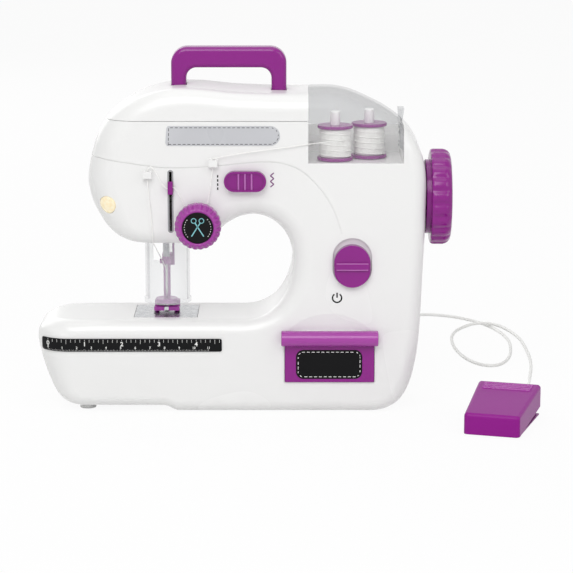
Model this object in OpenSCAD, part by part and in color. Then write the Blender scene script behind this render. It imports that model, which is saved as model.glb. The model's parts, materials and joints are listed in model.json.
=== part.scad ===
// Toy sewing machine with a foot pedal on a cord.
// Millimetres. +X right, +Y back, +Z up, origin on the floor under the middle of the base.

/* [Body] */
// Width of the moulded body
body_w = 268; // [260:1:280]
// Depth of the moulded body
body_d = 70; // [67:1:78]
// Height of the body over the floor
body_h = 223; // [220:1:235]
// Height of the bed over the floor
bed_h = 64; // [62:1:68]
// Height of the head's underside
head_z = 117; // [113:1:119]
// Thickness of the moulded walls
wall = 2.2; // [1.8:0.1:2.8]
// Radius of the body's long edges
edge_r = 10; // [8:0.5:11]
// Gap along the case seams
seam = 0.3; // [0.2:0.05:0.5]

/* [Handle] */
// Width of the carrying handle
handle_w = 78.4; // [64:0.2:90]
// Depth of the handle, front to back
handle_d = 15; // [11:0.5:18]
// Rise of the handle over the body
handle_rise = 25.5; // [22:0.5:34]
// Thickness of the handle's bar
handle_bar = 14.2; // [9:0.2:16]
// Width of each handle leg
handle_leg = 10.3; // [7:0.1:13]

/* [Needle] */
// Travel of the needle bar
stroke = 20; // [16:0.5:20]
// Radius of the needle bar
bar_r = 2.2; // [1.8:0.1:2.4]
// Radius of the needle
needle_r = 0.8; // [0.6:0.05:1]
// Radius of the presser bar
presser_r = 1.6; // [1.2:0.1:1.8]
// Distance from the needle back to the presser bar
presser_y = 7; // [6.8:0.1:8]
// Lift of the presser foot above the bed at rest
foot_lift = 2.3; // [2:0.1:3]
// Radius of the clear needle guard
guard_r = 15.5; // [15:0.1:16.5]
// Thickness of the clear needle guard
guard_wall = 1.3; // [1:0.1:1.8]

/* [Controls] */
// Radius of the thread tension knob
dial_r = 15.7; // [13:0.1:16.5]
// Thickness of the tension knob
dial_t = 12; // [9:0.5:14]
// Width of the stitch selector
selector_w = 28.4; // [24:0.2:32]
// Height of the stitch selector
selector_h = 13.7; // [11:0.1:15]
// Travel of the stitch selector to each side
selector_travel = 4; // [2:0.5:5]
// Width of the switch knob
switch_w = 24.6; // [22:0.2:26]
// Height of the switch knob
switch_h = 29; // [27:0.2:31]
// Travel of the switch knob
switch_travel = 4; // [3:0.5:5]

/* [Spools] */
// Radius of the spool flanges
spool_r = 12.2; // [11:0.1:12.4]
// Height of a spool
spool_h = 24; // [22:0.5:25]
// Thickness of a spool flange
flange_t = 2.2; // [1.6:0.1:2.4]
// Radius of the spool pins
pin_r = 3.4; // [2.4:0.1:3.8]
// Height of the spool pins over the tray
pin_h = 34; // [30:0.5:34.5]
// Turns in the outer layer of thread
thread_turns = 11; // [8:1:11]
// Diameter of the wound thread
thread_d = 1.1; // [0.8:0.05:1.1]

/* [Drawer] */
// Width of the drawer
drawer_w = 61; // [54:0.5:63]
// Height of the drawer's front
drawer_h = 26; // [20:0.5:28]
// Depth of the drawer
drawer_d = 50; // [40:0.5:54]
// Height of the drawer's pull lip
lip_h = 10; // [7:0.5:12]

/* [Drive] */
// Radius of the handwheel
wheel_r = 33; // [28:0.5:36]
// Width of the handwheel's rim
wheel_t = 14; // [10:0.5:16]
// Radius of the main shaft
shaft_r = 3; // [2.5:0.1:3.4]
// Size of the gear teeth as a module
tooth_size = 0.8; // [0.7:0.05:0.9]
// Teeth on the drive gear
gear_teeth = 42; // [36:6:42]
// Teeth on the motor pinion
pinion_teeth = 14; // [12:2:14]
// Radius of the motor
motor_r = 10; // [8:0.5:10.5]
// Length of the motor
motor_len = 26; // [20:0.5:28]

/* [Ruler and feet] */
// Length of the ruler strip on the base
ruler_len = 123.5; // [110:0.5:124]
// Height of the ruler strip
ruler_h = 9.8; // [8:0.1:11]
// Thickness of the ruler strip
ruler_t = 0.6; // [0.4:0.1:0.9]
// Radius of the feet under the left end
foot_r = 5.6; // [4:0.1:7]
// Diameter of a battery cell
cell_d = 14.5; // [14:0.1:14.6]
// Length of a battery cell
cell_len = 50.5; // [49:0.1:51]

/* [Pedal and cord] */
// Width of the pedal at its front
pedal_front_w = 37.5; // [34:0.5:42]
// Width of the pedal at its back
pedal_back_w = 43.5; // [40:0.5:50]
// Depth of the pedal
pedal_d = 66; // [60:0.5:74]
// Height of the pedal at its front
pedal_front_h = 15; // [13:0.5:18]
// Height of the pedal at its back
pedal_back_h = 21.5; // [19:0.5:25]
// Diameter of the pedal's cord
cord_d = 2.4; // [2:0.1:2.4]

/* [Hidden] */
$fn = 48;

// Clearances: a cut's overrun, a running fit, a close fit and the air between moving pieces
over = 1;
run = 0.05;
snug = 0.02;
air = 0.3;

// Colours
white_plastic = [0.93, 0.93, 0.92];
purple_plastic = [0.55, 0.11, 0.53];
clear_plastic = [0.75, 0.76, 0.78, 0.45];
black_plastic = [0.06, 0.06, 0.07];
grey_plastic = [0.42, 0.42, 0.43];
steel = [0.75, 0.75, 0.77];
brass = [0.80, 0.66, 0.33];

// Zones of the body that its outline is written in
half_w = body_w / 2;
half_d = body_d / 2;
head_h = body_h - head_z;
arm_h = head_z - bed_h;
function across(share) = share * half_w;
function head_at(share) = head_z + share * head_h;
function arm_at(share) = bed_h + share * arm_h;
function base_at(share) = share * bed_h;

// Share of the bed's height that the left end stands clear of the floor
step_share = 0.06;

// Outline keys: across, height in the zone, then how far the rounded edge runs in, in edge radii
outer_head_shares = [
  [-0.709, 0.434, 2.0, 0.0], [-0.683, 0.604, 1.9, -0.5], [-0.634, 0.755, 1.6, -0.9],
  [-0.549, 0.868, 1.1, -1.1], [-0.433, 0.948, 0.5, -1.2], [-0.299, 0.993, 0.1, -1.2],
  [-0.149, 0.997, 0.0, -1.2], [0.037, 0.975, 0.0, -1.2], [0.336, 0.964, 0.0, -1.2],
  [0.507, 0.968, 0.0, -1.2], [0.604, 0.949, -0.3, -1.2], [0.709, 0.895, -0.5, -1.1],
  [0.813, 0.825, -0.6, -1.0], [0.903, 0.736, -0.8, -0.8], [0.966, 0.613, -1.0, -0.4],
  [0.997, 0.462, -1.0, 0.0], [1.0, 0.217, -1.0, 0.0]];
outer_base_shares = [
  [0.989, 1.56, -1.0, 0.0], [0.974, 0.875, -1.0, 0.0], [0.955, 0.547, -1.0, 0.1],
  [0.914, 0.242, -1.0, 0.3], [0.843, 0.063, -0.6, 0.8], [0.724, 0.0, 0.0, 0.9],
  [-0.254, 0.0, 0.0, 0.9], [-0.336, step_share, 0.0, 0.8], [-0.746, step_share, 0.3, 0.8],
  [-0.847, 0.11, 1.1, 0.7], [-0.91, 0.28, 1.6, 0.3], [-0.974, 0.66, 2.2, 0.0]];
inner_head_shares = [
  [-0.706, 0.358, 2.0, 0.1], [-0.687, 0.264, 2.0, 0.4], [-0.653, 0.179, 1.8, 0.8],
  [-0.608, 0.099, 1.4, 1.0], [-0.549, 0.041, 0.9, 1.1], [-0.47, 0.008, 0.3, 1.1],
  [-0.358, 0.0, 0.0, 1.1], [-0.239, 0.0, 0.0, 1.1], [-0.142, 0.017, -0.3, 1.1],
  [-0.067, 0.066, -0.6, 1.1], [0.0, 0.132, -0.6, 1.2], [0.067, 0.175, -0.3, 1.3],
  [0.142, 0.187, 0.1, 1.3], [0.216, 0.158, 0.5, 1.2], [0.28, 0.088, 0.9, 1.0]];
inner_arm_shares = [
  [0.317, 0.99, 1.2, 0.6], [0.328, 0.79, 1.3, 0.1], [0.319, 0.566, 1.3, -0.2],
  [0.287, 0.34, 1.1, -0.6], [0.235, 0.16, 0.9, -0.8], [0.164, 0.043, 0.4, -0.9],
  [0.075, 0.0, 0.0, -0.9], [-0.149, 0.0, 0.0, -0.9], [-0.373, 0.0, 0.0, -0.9],
  [-0.522, 0.0, 0.0, -0.9], [-0.709, 0.0, 0.2, -0.9], [-0.828, 0.0, 0.8, -0.9],
  [-0.918, -0.034, 1.7, -0.9], [-0.978, -0.15, 2.2, -0.6]];

function body_key(s, z) = [across(s[0]), z, edge_r * s[2], edge_r * s[3]];
outer_keys = concat(
  [for (s = outer_head_shares) body_key(s, head_at(s[1]))],
  [for (s = outer_base_shares) body_key(s, base_at(s[1]))]);
inner_keys = concat(
  [for (s = inner_head_shares) body_key(s, head_at(s[1]))],
  [for (s = inner_arm_shares) body_key(s, arm_at(s[1]))]);
pair_n = len(outer_keys);
loop_keys = concat(outer_keys, [for (i = [pair_n - 1:-1:0]) inner_keys[i]]);
key_n = len(loop_keys);
key_steps = 2;

// Smooth closed outline through the keys; straight level stretches stay straight
function key(i) = loop_keys[(i + key_n) % key_n];
function spot(i) = [key(i)[0], key(i)[1]];
function inset(i) = [key(i)[2], key(i)[3]];
function unit(v) = v / norm(v);
function heading(i) =
  let (before = spot(i) - spot(i - 1), after = spot(i + 1) - spot(i))
  before[1] == 0 ? unit(before) : after[1] == 0 ? unit(after) : unit(before + after);
function curve(i, t) =
  let (a = spot(i), b = spot(i + 1), reach = norm(b - a))
  a * (1 + 2 * t) * pow(1 - t, 2) + b * t * t * (3 - 2 * t)
  + heading(i) * reach * t * pow(1 - t, 2) - heading(i + 1) * reach * t * t * (1 - t);
body_loop = [for (i = [0:key_n - 1], j = [0:key_steps - 1])
  let (t = j / key_steps) concat(curve(i, t), inset(i) * (1 - t) + inset(i + 1) * t)];
loop_n = len(body_loop);

// One ring of the front half's skin, a depth below the outer surface and an angle round its edge
function skin_point(p, depth, turn) =
  let (spot = [p[0], p[1]], in = [p[2], p[3]], round = norm(in), from = in / round * depth,
       place = spot + from + (in - from) * (1 - cos(turn)))
  [place[0], -(half_d - depth - (round - depth) * (1 - sin(turn))), place[1]];
function skin_ring(depth, turn) = [for (p = body_loop) skin_point(p, depth, turn)];
function parting_ring(depth) = [for (q = skin_ring(depth, 0)) [q[0], 0, q[2]]];

// Triangles between two rings, and across a flat C-shaped end, laced from side to side by its shorter rungs
function band(a, b) = [for (i = [0:loop_n - 1]) let (j = (i + 1) % loop_n)
  each [[a * loop_n + i, a * loop_n + j, b * loop_n + j], [a * loop_n + i, b * loop_n + j, b * loop_n + i]]];
function flip(faces) = [for (f = faces) [f[2], f[1], f[0]]];
nose = (pair_n - 1) * key_steps;
function right_turn(a, b, c) = (b[0] - a[0]) * (c[2] - a[2]) < (b[2] - a[2]) * (c[0] - a[0]);
function step_out(r, i, j) =
  i == nose ? false : j == nose + 1 ? true
  : right_turn(r[i], r[i + 1], r[j])
    && (!right_turn(r[i], r[j - 1], r[j]) || norm(r[i + 1] - r[j]) < norm(r[i] - r[j - 1]));
function end_cap(r, ring) =
  let (s = ring * loop_n)
  [for (i = 0, j = loop_n - 1, out = step_out(r, 0, j); j - i > 1;
        i = out ? i + 1 : i, j = out ? j : j - 1, out = step_out(r, i, j))
    out ? [s + i, s + i + 1, s + j] : [s + i, s + j - 1, s + j]];

// Hollow front half between two depths below the outer surface
outer_turns = [0, 30, 60, 90];
inner_turns = [90, 45, 0];
strip_turns = [90, 60, 30, 0];
core_turns = [0, 45, 90];
module skin(from, to, turns = inner_turns) {
  rings = concat([parting_ring(from)], [for (a = outer_turns) skin_ring(from, a)],
    [for (a = turns) skin_ring(to, a)], [parting_ring(to)]);
  rim = len(outer_turns);
  last = len(rings) - 1;
  faces = concat(
    [for (k = [0:rim - 1]) each band(k, k + 1)], end_cap(rings[rim], rim),
    flip(end_cap(rings[rim + 1], rim + 1)), [for (k = [rim + 1:last - 1]) each band(k, k + 1)], band(last, 0));
  polyhedron(points = [for (r = rings) each r], faces = faces);
}

// Solid front half of what lies below a depth
module core(depth) {
  rings = concat([parting_ring(depth)], [for (a = core_turns) skin_ring(depth, a)]);
  rim = len(core_turns);
  faces = concat(flip(end_cap(rings[0], 0)), [for (k = [0:rim - 1]) each band(k, k + 1)],
    end_cap(rings[rim], rim));
  polyhedron(points = [for (r = rings) each r], faces = faces);
}
module both_halves() {
  children();
  mirror([0, 1, 0]) children();
}

// Shape helpers: boxes by corners, prisms along each axis and slots with round ends
module block(low, high) translate(low) cube(high - low);
module along_x(x0, x1) translate([x0, 0, 0]) rotate([90, 0, 90]) linear_extrude(x1 - x0) children();
module along_y(y0, y1) translate([0, y1, 0]) rotate([90, 0, 0]) linear_extrude(y1 - y0) children();
module along_z(z0, z1) translate([0, 0, z0]) linear_extrude(z1 - z0) children();
module disc_x(x0, x1, y, z, r) along_x(x0, x1) translate([y, z]) circle(r);
module disc_y(y0, y1, x, z, r) along_y(y0, y1) translate([x, z]) circle(r);
module disc_z(z0, z1, x, y, r) along_z(z0, z1) translate([x, y]) circle(r);
module slot(w, h) {
  r = min(w, h) / 2;
  square([w > h ? w - 2 * r : w, w > h ? h : h - 2 * r], center = true);
  for (s = [-1, 1]) translate(w > h ? [s * (w / 2 - r), 0] : [0, s * (h / 2 - r)]) circle(r);
}
module arch(w, z0, z1, r) {
  translate([-w / 2, z0]) square([w, z1 - r - z0]);
  translate([-w / 2 + r, z0]) square([w - 2 * r, z1 - z0]);
  for (s = [-1, 1]) translate([s * (w / 2 - r), z1 - r]) circle(r);
}
module tube(r_out, r_in) difference() {
  circle(r_out);
  circle(r_in);
}

// Tube along a path, and the smooth path through chosen points
function way(path, i) = unit(path[min(i + 1, len(path) - 1)] - path[max(i - 1, 0)]);
function stretch(path, i, t) =
  let (a = path[i], b = path[i + 1], reach = norm(b - a))
  a * (1 + 2 * t) * pow(1 - t, 2) + b * t * t * (3 - 2 * t)
  + way(path, i) * reach * t * pow(1 - t, 2) - way(path, i + 1) * reach * t * t * (1 - t);
function smooth(path, steps) = concat(
  [for (i = [0:len(path) - 2], j = [0:steps - 1]) stretch(path, i, j / steps)], [path[len(path) - 1]]);
function rope_ring(path, i, r, sides, up) =
  let (t = way(path, i), u = unit(cross(t, up)), v = cross(u, t))
  [for (k = [0:sides - 1]) path[i] + r * (cos(360 * k / sides) * u + sin(360 * k / sides) * v)];
module rope(path, r, sides, up) {
  n = len(path);
  faces = concat(
    [for (i = [0:n - 2], k = [0:sides - 1]) let (a = i * sides + k, b = i * sides + (k + 1) % sides)
      each [[a, b, b + sides], [a, b + sides, a + sides]]],
    [[for (k = [sides - 1:-1:0]) k]], [[for (k = [0:sides - 1]) (n - 1) * sides + k]]);
  polyhedron(points = [for (i = [0:n - 1]) each rope_ring(path, i, r, sides, up)], faces = faces);
}

// Gear outline with involute flanks; its first tooth points along the plane's first axis
flank_steps = 4;
function swing_at(a) = a * 180 / PI - atan(a);
module gear_outline(teeth) {
  pitch_r = tooth_size * teeth / 2;
  base_r = pitch_r * cos(pressure_angle);
  tip_r = pitch_r + tip_share * tooth_size;
  root_r = pitch_r - root_share * tooth_size;
  end = sqrt(pow(tip_r / base_r, 2) - 1);
  half = 90 / teeth - backlash / 2 / pitch_r * 180 / PI + swing_at(tan(pressure_angle));
  flank = [for (i = [0:flank_steps]) let (a = end * i / flank_steps)
    [base_r * sqrt(1 + a * a), half - swing_at(a)]];
  side = concat([[root_r, half]], flank);
  tooth = concat([for (p = side) [p[0], -p[1]]], [for (i = [len(side) - 1:-1:0]) side[i]]);
  polygon([for (k = [0:teeth - 1], p = tooth)
    let (a = p[1] + 360 * k / teeth) p[0] * [cos(a), sin(a)]]);
}

// Places on the body, as shares of its zones
needle_x_share = -0.325;
seam_z_share = 0.797;
bay_left_share = 0.407;
bay_right_share = 0.884;
bay_z_share = 0.53;
bay_rear_share = 0.632;
dial_x_share = -0.148;
dial_z_share = 0.14;
take_up_x_share = -0.287;
take_up_low_share = 0.88;
take_up_high_share = 0.489;
selector_x_share = 0.088;
selector_z_share = 0.42;
switch_x_share = 0.628;
switch_z_share = 0.74;
drawer_x_share = 0.515;
drawer_z_share = 0.345;
ruler_right_share = -0.034;
ruler_z_share = 0.68;
lamp_x_share = -0.606;
lamp_y_share = 0.9;
lamp_z_share = 0.26;
shaft_z_share = 0.264;
motor_x_share = 0.6;
feet_x_share = -0.731;
jack_x_share = 0.836;
jack_z_share = 0.75;
left_guide_x_share = -0.402;
left_guide_z_share = 0.461;
top_guide_x_share = -0.072;
top_guide_z_share = 0.535;
bar_guide_z_share = 0.51;
presser_top_share = 0.575;

needle_x = across(needle_x_share);
seam_z = head_at(seam_z_share);
bay_x0 = across(bay_left_share);
bay_x1 = across(bay_right_share);
bay_z = head_at(bay_z_share);
bay_rear_z = head_at(bay_rear_share);
dial_x = across(dial_x_share);
dial_z = head_at(dial_z_share);
take_up_x = across(take_up_x_share);
take_up_low = head_z + take_up_low_share * edge_r;
take_up_high = head_at(take_up_high_share);
selector_x = across(selector_x_share);
selector_z = head_at(selector_z_share);
switch_x = across(switch_x_share);
switch_z = arm_at(switch_z_share);
drawer_x = across(drawer_x_share);
drawer_z = base_at(drawer_z_share);
ruler_x1 = across(ruler_right_share);
ruler_z = base_at(ruler_z_share);
shaft_z = head_at(shaft_z_share);
jack_x = across(jack_x_share);
jack_z = base_at(jack_z_share);
step_z = base_at(step_share);
front_y = -half_d;
inner_y = half_d - wall;
reach_x = body_w;
reach_z = 2 * body_h;

// Screw bosses inside the case, as shares of the half width and of the body's height
boss_shares = [[-0.46, 0.82], [0.13, 0.85], [0.9, 0.7], [0.86, 0.3], [0.8, 0.1], [-0.68, 0.12]];
bosses = [for (s = boss_shares) [across(s[0]), s[1] * body_h]];
boss_r = 4;
screw_r = 1.3;
screw_head_r = 2.8;
screw_head_t = 1.8;
screw_sink = 6;
screw_grip = 9;

// Second seam line across the front, as shares of the half width and of the head's zone
groove_shares = [[-0.58, 0.55], [-0.36, 0.508], [-0.26, 0.502], [-0.07, 0.514], [0.09, 0.534],
  [0.21, 0.54], [0.29, 0.527], [0.363, 0.489], [0.434, 0.412], [0.489, 0.328], [0.54, 0.212],
  [0.575, 0.08]];
groove = [for (s = groove_shares) [across(s[0]), head_at(s[1])]];
groove_w = 0.6;
groove_t = 0.5;

// Openings in the case
head_hole_r = 13;
head_hole_back = 5;
take_up_w = 4;
selector_stem_w = 6;
selector_stem_h = 4;
recess_gap = 1;
recess_edge = 2;
recess_w = switch_w + 2 * recess_gap;
recess_h = switch_h + switch_travel + recess_gap;
recess_z = switch_z + switch_travel / 2;
plate_w = 44;
plate_d_share = 0.5714;
plate_d = plate_d_share * body_d;
door_w = 64;
door_d = 46;
door_t = 2;
bush_r = 6;
stud_r = 2.5;
jack_r = 4;
lifter_r = 2.2;
lifter_side = 15;
lifter_rise = 18;
lifter_x = needle_x + lifter_side;
lifter_z = head_z + lifter_rise;

// Spool bay, its tray and the hinge of its clear cover on the back of the case
cover_wall = 1.6;
tray_t = 2;
tray_drop = 1.7;
tray_z = bay_z - tray_drop;
tray_back = 29.5;
knuckle_r = 2.4;
knuckle_w = 9;
knuckle_in = 2;
hinge_pin_r = 1.1;
hinge_rise = 3.4;
hinge_z = bay_rear_z + hinge_rise;
hinge_y = half_d - wall / 2;
cover_rear_z = hinge_z + hinge_rise;
left_knuckle_x = bay_x0 + knuckle_in;
right_knuckle_x = bay_x1 - seam - knuckle_in - knuckle_w;

// Spools: places in the bay, hub and winding
left_spool_share = 0.285;
right_spool_share = 0.653;
left_spool_y = -8;
right_spool_y = 4;
left_at = [bay_x0 + left_spool_share * (bay_x1 - bay_x0), left_spool_y];
right_at = [bay_x0 + right_spool_share * (bay_x1 - bay_x0), right_spool_y];
pin_chamfer = 0.8;
spool_z = tray_z + air;
hub_r = 6;
wind_in = 2;
coil_r = spool_r - wind_in;
sleeve_r = coil_r - thread_d / 2 - run;
wind_low = spool_z + flange_t;
wind_high = spool_z + spool_h - flange_t;
wind_pitch = (wind_high - wind_low - 2 * thread_d) / thread_turns;
coil_steps = 20;
coil_sides = 6;

// Carrying handle
handle_x_share = 0.003;
handle_x = across(handle_x_share);
handle_outer_r = 11;
handle_inner_r = 7;
handle_edge_r = 4;
handle_sink = 10;
handle_low = body_h - handle_sink;
handle_top = body_h + handle_rise;

// Lamp on the head's lower left edge
lamp_r = 6;
lamp_sink = 5;
lamp_lens_t = 2;
lamp_proud = 1;
lamp_dome_r = 20;
dome_sides = 128;
lamp_turn = -35;
lamp_tip = 18;
lamp_x = across(lamp_x_share);
lamp_y = lamp_y_share * front_y;
lamp_z = head_at(lamp_z_share);
led_r = 2.5;
led_len = 5;
led_flange_r = 3.4;
led_flange_t = 1;
led_y = lamp_lens_t + air;

// Crank, connecting rod and needle bar in the head
rod_t = 1.8;
rod_w = 3.6;
rod_ring_r = 3.4;
rod_len = 11;
crank_pin_r = 1.5;
crank_pin_len = 3;
crank_t = 5;
crank_r = 14;
crank_floor = 1;
rod_x0 = needle_x + bar_r + air;
rod_x1 = rod_x0 + rod_t;
crank_x0 = rod_x1 + air + crank_pin_len;
crank_z = shaft_z + stroke / 2;
rod_low_z = crank_z - rod_len;
bar_drop = 16;
bar_top_gap = 3;
bar_low_z = head_z - bar_drop;
bar_top_z = seam_z - bar_top_gap;
clamp_r = 2.9;
clamp_drop = 3;
clamp_rise = 2;
clamp_knob_r = 1.6;
clamp_knob_t = 1.6;
tip_gap = 9.5;
needle_tip_z = bed_h + tip_gap;
needle_point = 4;
eye_r = 0.4;
eye_rise = 6;

// Take-up lever, clamped to the needle bar and bent round the crank
lever_rise = 2;
lever_z = crank_z + lever_rise;
lever_w = 3.4;
lever_h = 8.5;
lever_out = 4;
lever_gap = 0.6;
lever_eye_r = 0.9;
lever_collar_r = 3.6;
lever_arm_w = 4.8;
lever_arm_t = 3.5;
lever_arm_h = 4;
lever_stem = 1.6;
lever_bend = -crank_r - lever_arm_t - lever_gap;
lever_arm_x = needle_x + bar_r - lever_gap;

// Presser bar, foot and lifter
presser_drop = 4;
presser_low_z = bar_low_z - presser_drop;
presser_top_z = head_at(presser_top_share);
collar_r = 2.7;
collar_t = 3;
collar_drop = 12;
collar_z = shaft_z - collar_drop;
spring_wire = 0.8;
foot_z = bed_h + foot_lift;
toe_t = 2.6;
toe_front = -9;
toe_back = 7;
toe_left = -8.4;
toe_right = 9;
toe_gap = 3;
bridge_y = 2.8;
neck_h = 1.6;
disc_r = 7.5;
disc_t = 3;
disc_z0 = foot_z + toe_t + neck_h;
foot_hole_r = 2;
shank_w = 4.8;
shank_front = 4;
shank_back = 7.6;
foot_block_left = 3;
foot_block_right = 5.3;
foot_block_h = 7;
foot_block_back = 10.4;
bracket_t = 1.4;
bracket_h = 11;
lifter_arm_w = 8;
lifter_arm_len = 20;
lifter_arm_t = 3;
lifter_cam_len = 10;
lifter_cam_h = 5;
lifter_in_y = 22;

// Clear guard round the needle
guard_shift = 0.8;
guard_x = needle_x + guard_shift;
guard_gap = 5.4;
guard_low_z = foot_z + guard_gap;
guard_top_z = head_z - air;
guard_back = 6;
guard_flare = 0.8;
guard_flare_h = 2.5;
notch_left = 9;
notch_right = 2.5;
notch_h = 14;

// Under the bed: plate, feed dog, looper and the frame that carries them
plate_t = wall;
plate_low_z = bed_h - plate_t;
feed_x = 7;
feed_w = 3;
feed_len = 14;
feed_travel = 1.5;
feed_proud = 0.6;
feed_h = 10;
feed_low_z = bed_h - feed_h;
feed_bar_t = 2.5;
feed_n = 8;
loop_side = 5;
loop_drop = 18;
loop_tip_drop = 7;
loop_gap = 0.5;
loop_x = needle_x + loop_side;
loop_z = bed_h - loop_drop;
loop_reach = loop_drop - loop_tip_drop;
loop_arm_shares = [[1.36, 0], [0.64, 0], [0.5, 0.78], [0.14, 0.97], [0.3, 1.04], [0.72, 0.94], [0.9, 0.7]];
loop_hub_r = 3;
loop_pin_r = 1.2;
loop_y0 = needle_r + loop_gap;
loop_arm_t = 1.2;
loop_hub_t = 2.8;
ring_t = 2.5;
ring_out = 4;
ring_in = 4;
ring_low_z = plate_low_z - ring_t;
arm_t = 3.2;
arm_w = 7;
ledge_t = 2.5;

// Frame in the head that carries the bars and the shaft's left bush
frame_gap = 1.5;
frame_y = crank_r + frame_gap;
frame_t = 3;
frame_left = 9;
frame_right = 22;
frame_neck = 4.5;
frame_rise = 1.6;
frame_low_z = head_z + wall + frame_rise;
guide_t = 3;
guide_drop = 1;
guide_edge = 2.8;
guide_low_z = head_z - guide_drop;
guide_top_z = head_at(bar_guide_z_share);
bush_len = 6;
bush_flange_r = 8;
bush_flange_t = 1.2;
bush_block = 8;
left_bush_x = needle_x + frame_right - bush_len;
right_bush_x = half_w - wall - air;
post_r = 4;
post_shares = [[-0.2, 0.3], [0.7, 0.85]];

// Handwheel, gears and motor
wheel_gap = 0.6;
wheel_x = half_w + wheel_gap;
wheel_collar_r = 25.5;
wheel_collar_t = 3.4;
wheel_w = wheel_collar_t + wheel_t;
wheel_flutes = 22;
wheel_flute_r = 3;
wheel_flute_out = 1.7;
wheel_dish = 2.5;
wheel_rim_w = 9;
wheel_boss_r = 8;
wheel_soft = 3.5;
wheel_cap = 4;
pressure_angle = 20;
backlash = 0.12;
tip_share = 0.85;
root_share = 1.25;
gear_t = 5;
gear_gap = 6;
gear_hub_r = 6;
gear_hub_t = 4;
pinion_over = 0.5;
gear_centres = tooth_size * (gear_teeth + pinion_teeth) / 2;
motor_x = across(motor_x_share);
motor_z = shaft_z - gear_centres;
motor_boss_r = 3;
motor_boss_t = 2;
motor_shaft_r = 1;
gear_x0 = motor_x + motor_len / 2 + gear_gap;
cradle_x = 7;
cradle_t = 3;

// Controls on the front
dial_gap = 3.3;
dial_y = front_y - dial_gap;
dial_face_r = 10.4;
dial_face_t = 0.8;
dial_flutes = 24;
dial_flute_r = 1.2;
dial_soft = 2;
dial_bore = 8;
nut_r = 4;
nut_t = 3;
nut_gap = 1.8;
selector_t = 5;
selector_ribs = 5;
rib_w = 1.6;
rib_gap = 4.4;
rib_t = 0.8;
rib_h_share = 0.62;
clip_w = 12;
clip_h = 9;
clip_t = 1.5;
switch_proud = 3.5;
grip_h = 5.4;
grip_t = 1.4;
switch_edge = 3;
switch_box_d = 14;
liner_t = 1.2;
liner_edge = 2.5;

// Drawer, runners, ruler strip and battery bay
drawer_wall = 1.6;
drawer_proud = 1.5;
drawer_rim = 2;
lip_over = 2.5;
lip_out = 8.5;
rail_w = 6;
rail_h = 2.4;
rail_x = drawer_w / 2 - rail_w / 2;
drawer_top = drawer_z + drawer_h;
drawer_back = front_y + drawer_d;
ruler_lift = 0.15;
cell_gap = 0.4;
cell_cap_r = 2.7;
cell_cap_t = 1;
cell_r = cell_d / 2;
cell_z = door_t + air + cell_r;
contact_t = 0.5;
contact_h = 12;
feet_x = across(feet_x_share);
foot_y = 18;

// Jack and plug of the pedal's cord
jack_flange_r = 5.6;
jack_flange_t = 1.2;
jack_depth = 15;
jack_bore_r = 1.8;
jack_bore = 12;
jack_face = half_d + jack_flange_t;
plug_r = 4.2;
plug_len = 13.4;
plug_pin_r = 1.7;
plug_gap = 0.2;
plug_y = jack_face + plug_gap;
relief_r = 3.2;
relief_wall = 0.5;
relief_len = 12.2;

// Pedal, in its own frame with its front edge on the local X axis
pedal_x = 174.8;
pedal_y = -96;
pedal_yaw = -16;
pedal_wall = 2;
pedal_soft = 2.5;
pedal_front_gap = 0.8;
pedal_back_gap = 6.5;
pedal_floor_t = 1;
pedal_floor_in = 1;
pedal_floor_y = 8;
pedal_block_in = pedal_wall + 2 * air;
pedal_block_h = 5.5;
pedal_pin_r = 1.2;
pedal_pin_y = 7;
pedal_pin_z = 9;
pedal_ear_x = 12;
pedal_rib_x = 8;
pedal_lug = 3;
pedal_ridges = 4;
pedal_ridge_r = 0.9;
pedal_ridge_step = 3.2;
pedal_ridge_end = 5;
pedal_ridge_in = 5;
pedal_spring_y = 50;
pedal_spring_r = 3;
gland_x = 4;
gland_r = 1.9;
gland_z = 3;
gland_end = 72;
gland_play = 5;
pedal_slope = (pedal_back_h - pedal_front_h) / pedal_d;
function pedal_roof(y) = pedal_front_h + pedal_slope * y;

// Route of the pedal's cord from the plug down to the floor, round its loop and to the pedal
cord_route = [[112, 62, 48], [112, 72, 48], [112, 92, 43], [112, 111, 30], [113, 128, 15], [115, 145, 4.5],
  [117, 165, 1.2], [121, 200, 1.2], [130, 242, 1.2], [147, 266, 1.2], [170, 262, 1.2], [191, 243, 1.2],
  [205, 215, 1.2], [212, 180, 1.2], [211, 145, 1.2], [205, 112, 1.2], [194, 95, 1.2], [182, 101, 1.2],
  [172, 128, 1.2], [168, 170, 1.2], [172, 202, 1.3], [182, 220, 2.2], [194, 226, 3.4], [206, 217, 4.1],
  [215, 200, 3.3], [221, 178, 2], [223, 142, 1.2], [222, 103, 1.2], [217, 62, 1.2], [211, 25, 1.2],
  [205, -4, 2], [201, -19, 2.8], [198.5, -27.9, 3]];
cord_steps = 2;
cord_sides = 8;

// Thread guides, and the route of the thread from the spool through them to the needle
guide_hole_r = 1.3;
guide_out = 4.4;
guide_hole_out = 2.4;
guide_half = 3;
guide_rise = 2.4;
guide_y = front_y - guide_hole_out;
left_guide = [across(left_guide_x_share), head_at(left_guide_z_share)];
top_guide = [across(top_guide_x_share), head_at(top_guide_z_share)];
thread_r = 0.3;
thread_lift = 0.8;
thread_turn = -56;
thread_rise = 15;
thread_z = tray_z + thread_rise;
thread_notch = 4;
thread_steps = 2;
thread_sides = 6;
thread_slack = 3;
thread_lay = front_y - thread_lift;
thread_dial_y = front_y - dial_gap / 2;
thread_leave = coil_r + thread_d / 2 + thread_r + air;
thread_dial_r = stud_r + 3 * thread_r;
lever_eye_y = front_y - lever_out + lever_eye_r + thread_r;
edge_bend_share = 1.1;
edge_bend = edge_bend_share * edge_r;
bend_r = edge_bend + thread_lift;
bend_x = left_guide[0] + thread_slack;
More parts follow.
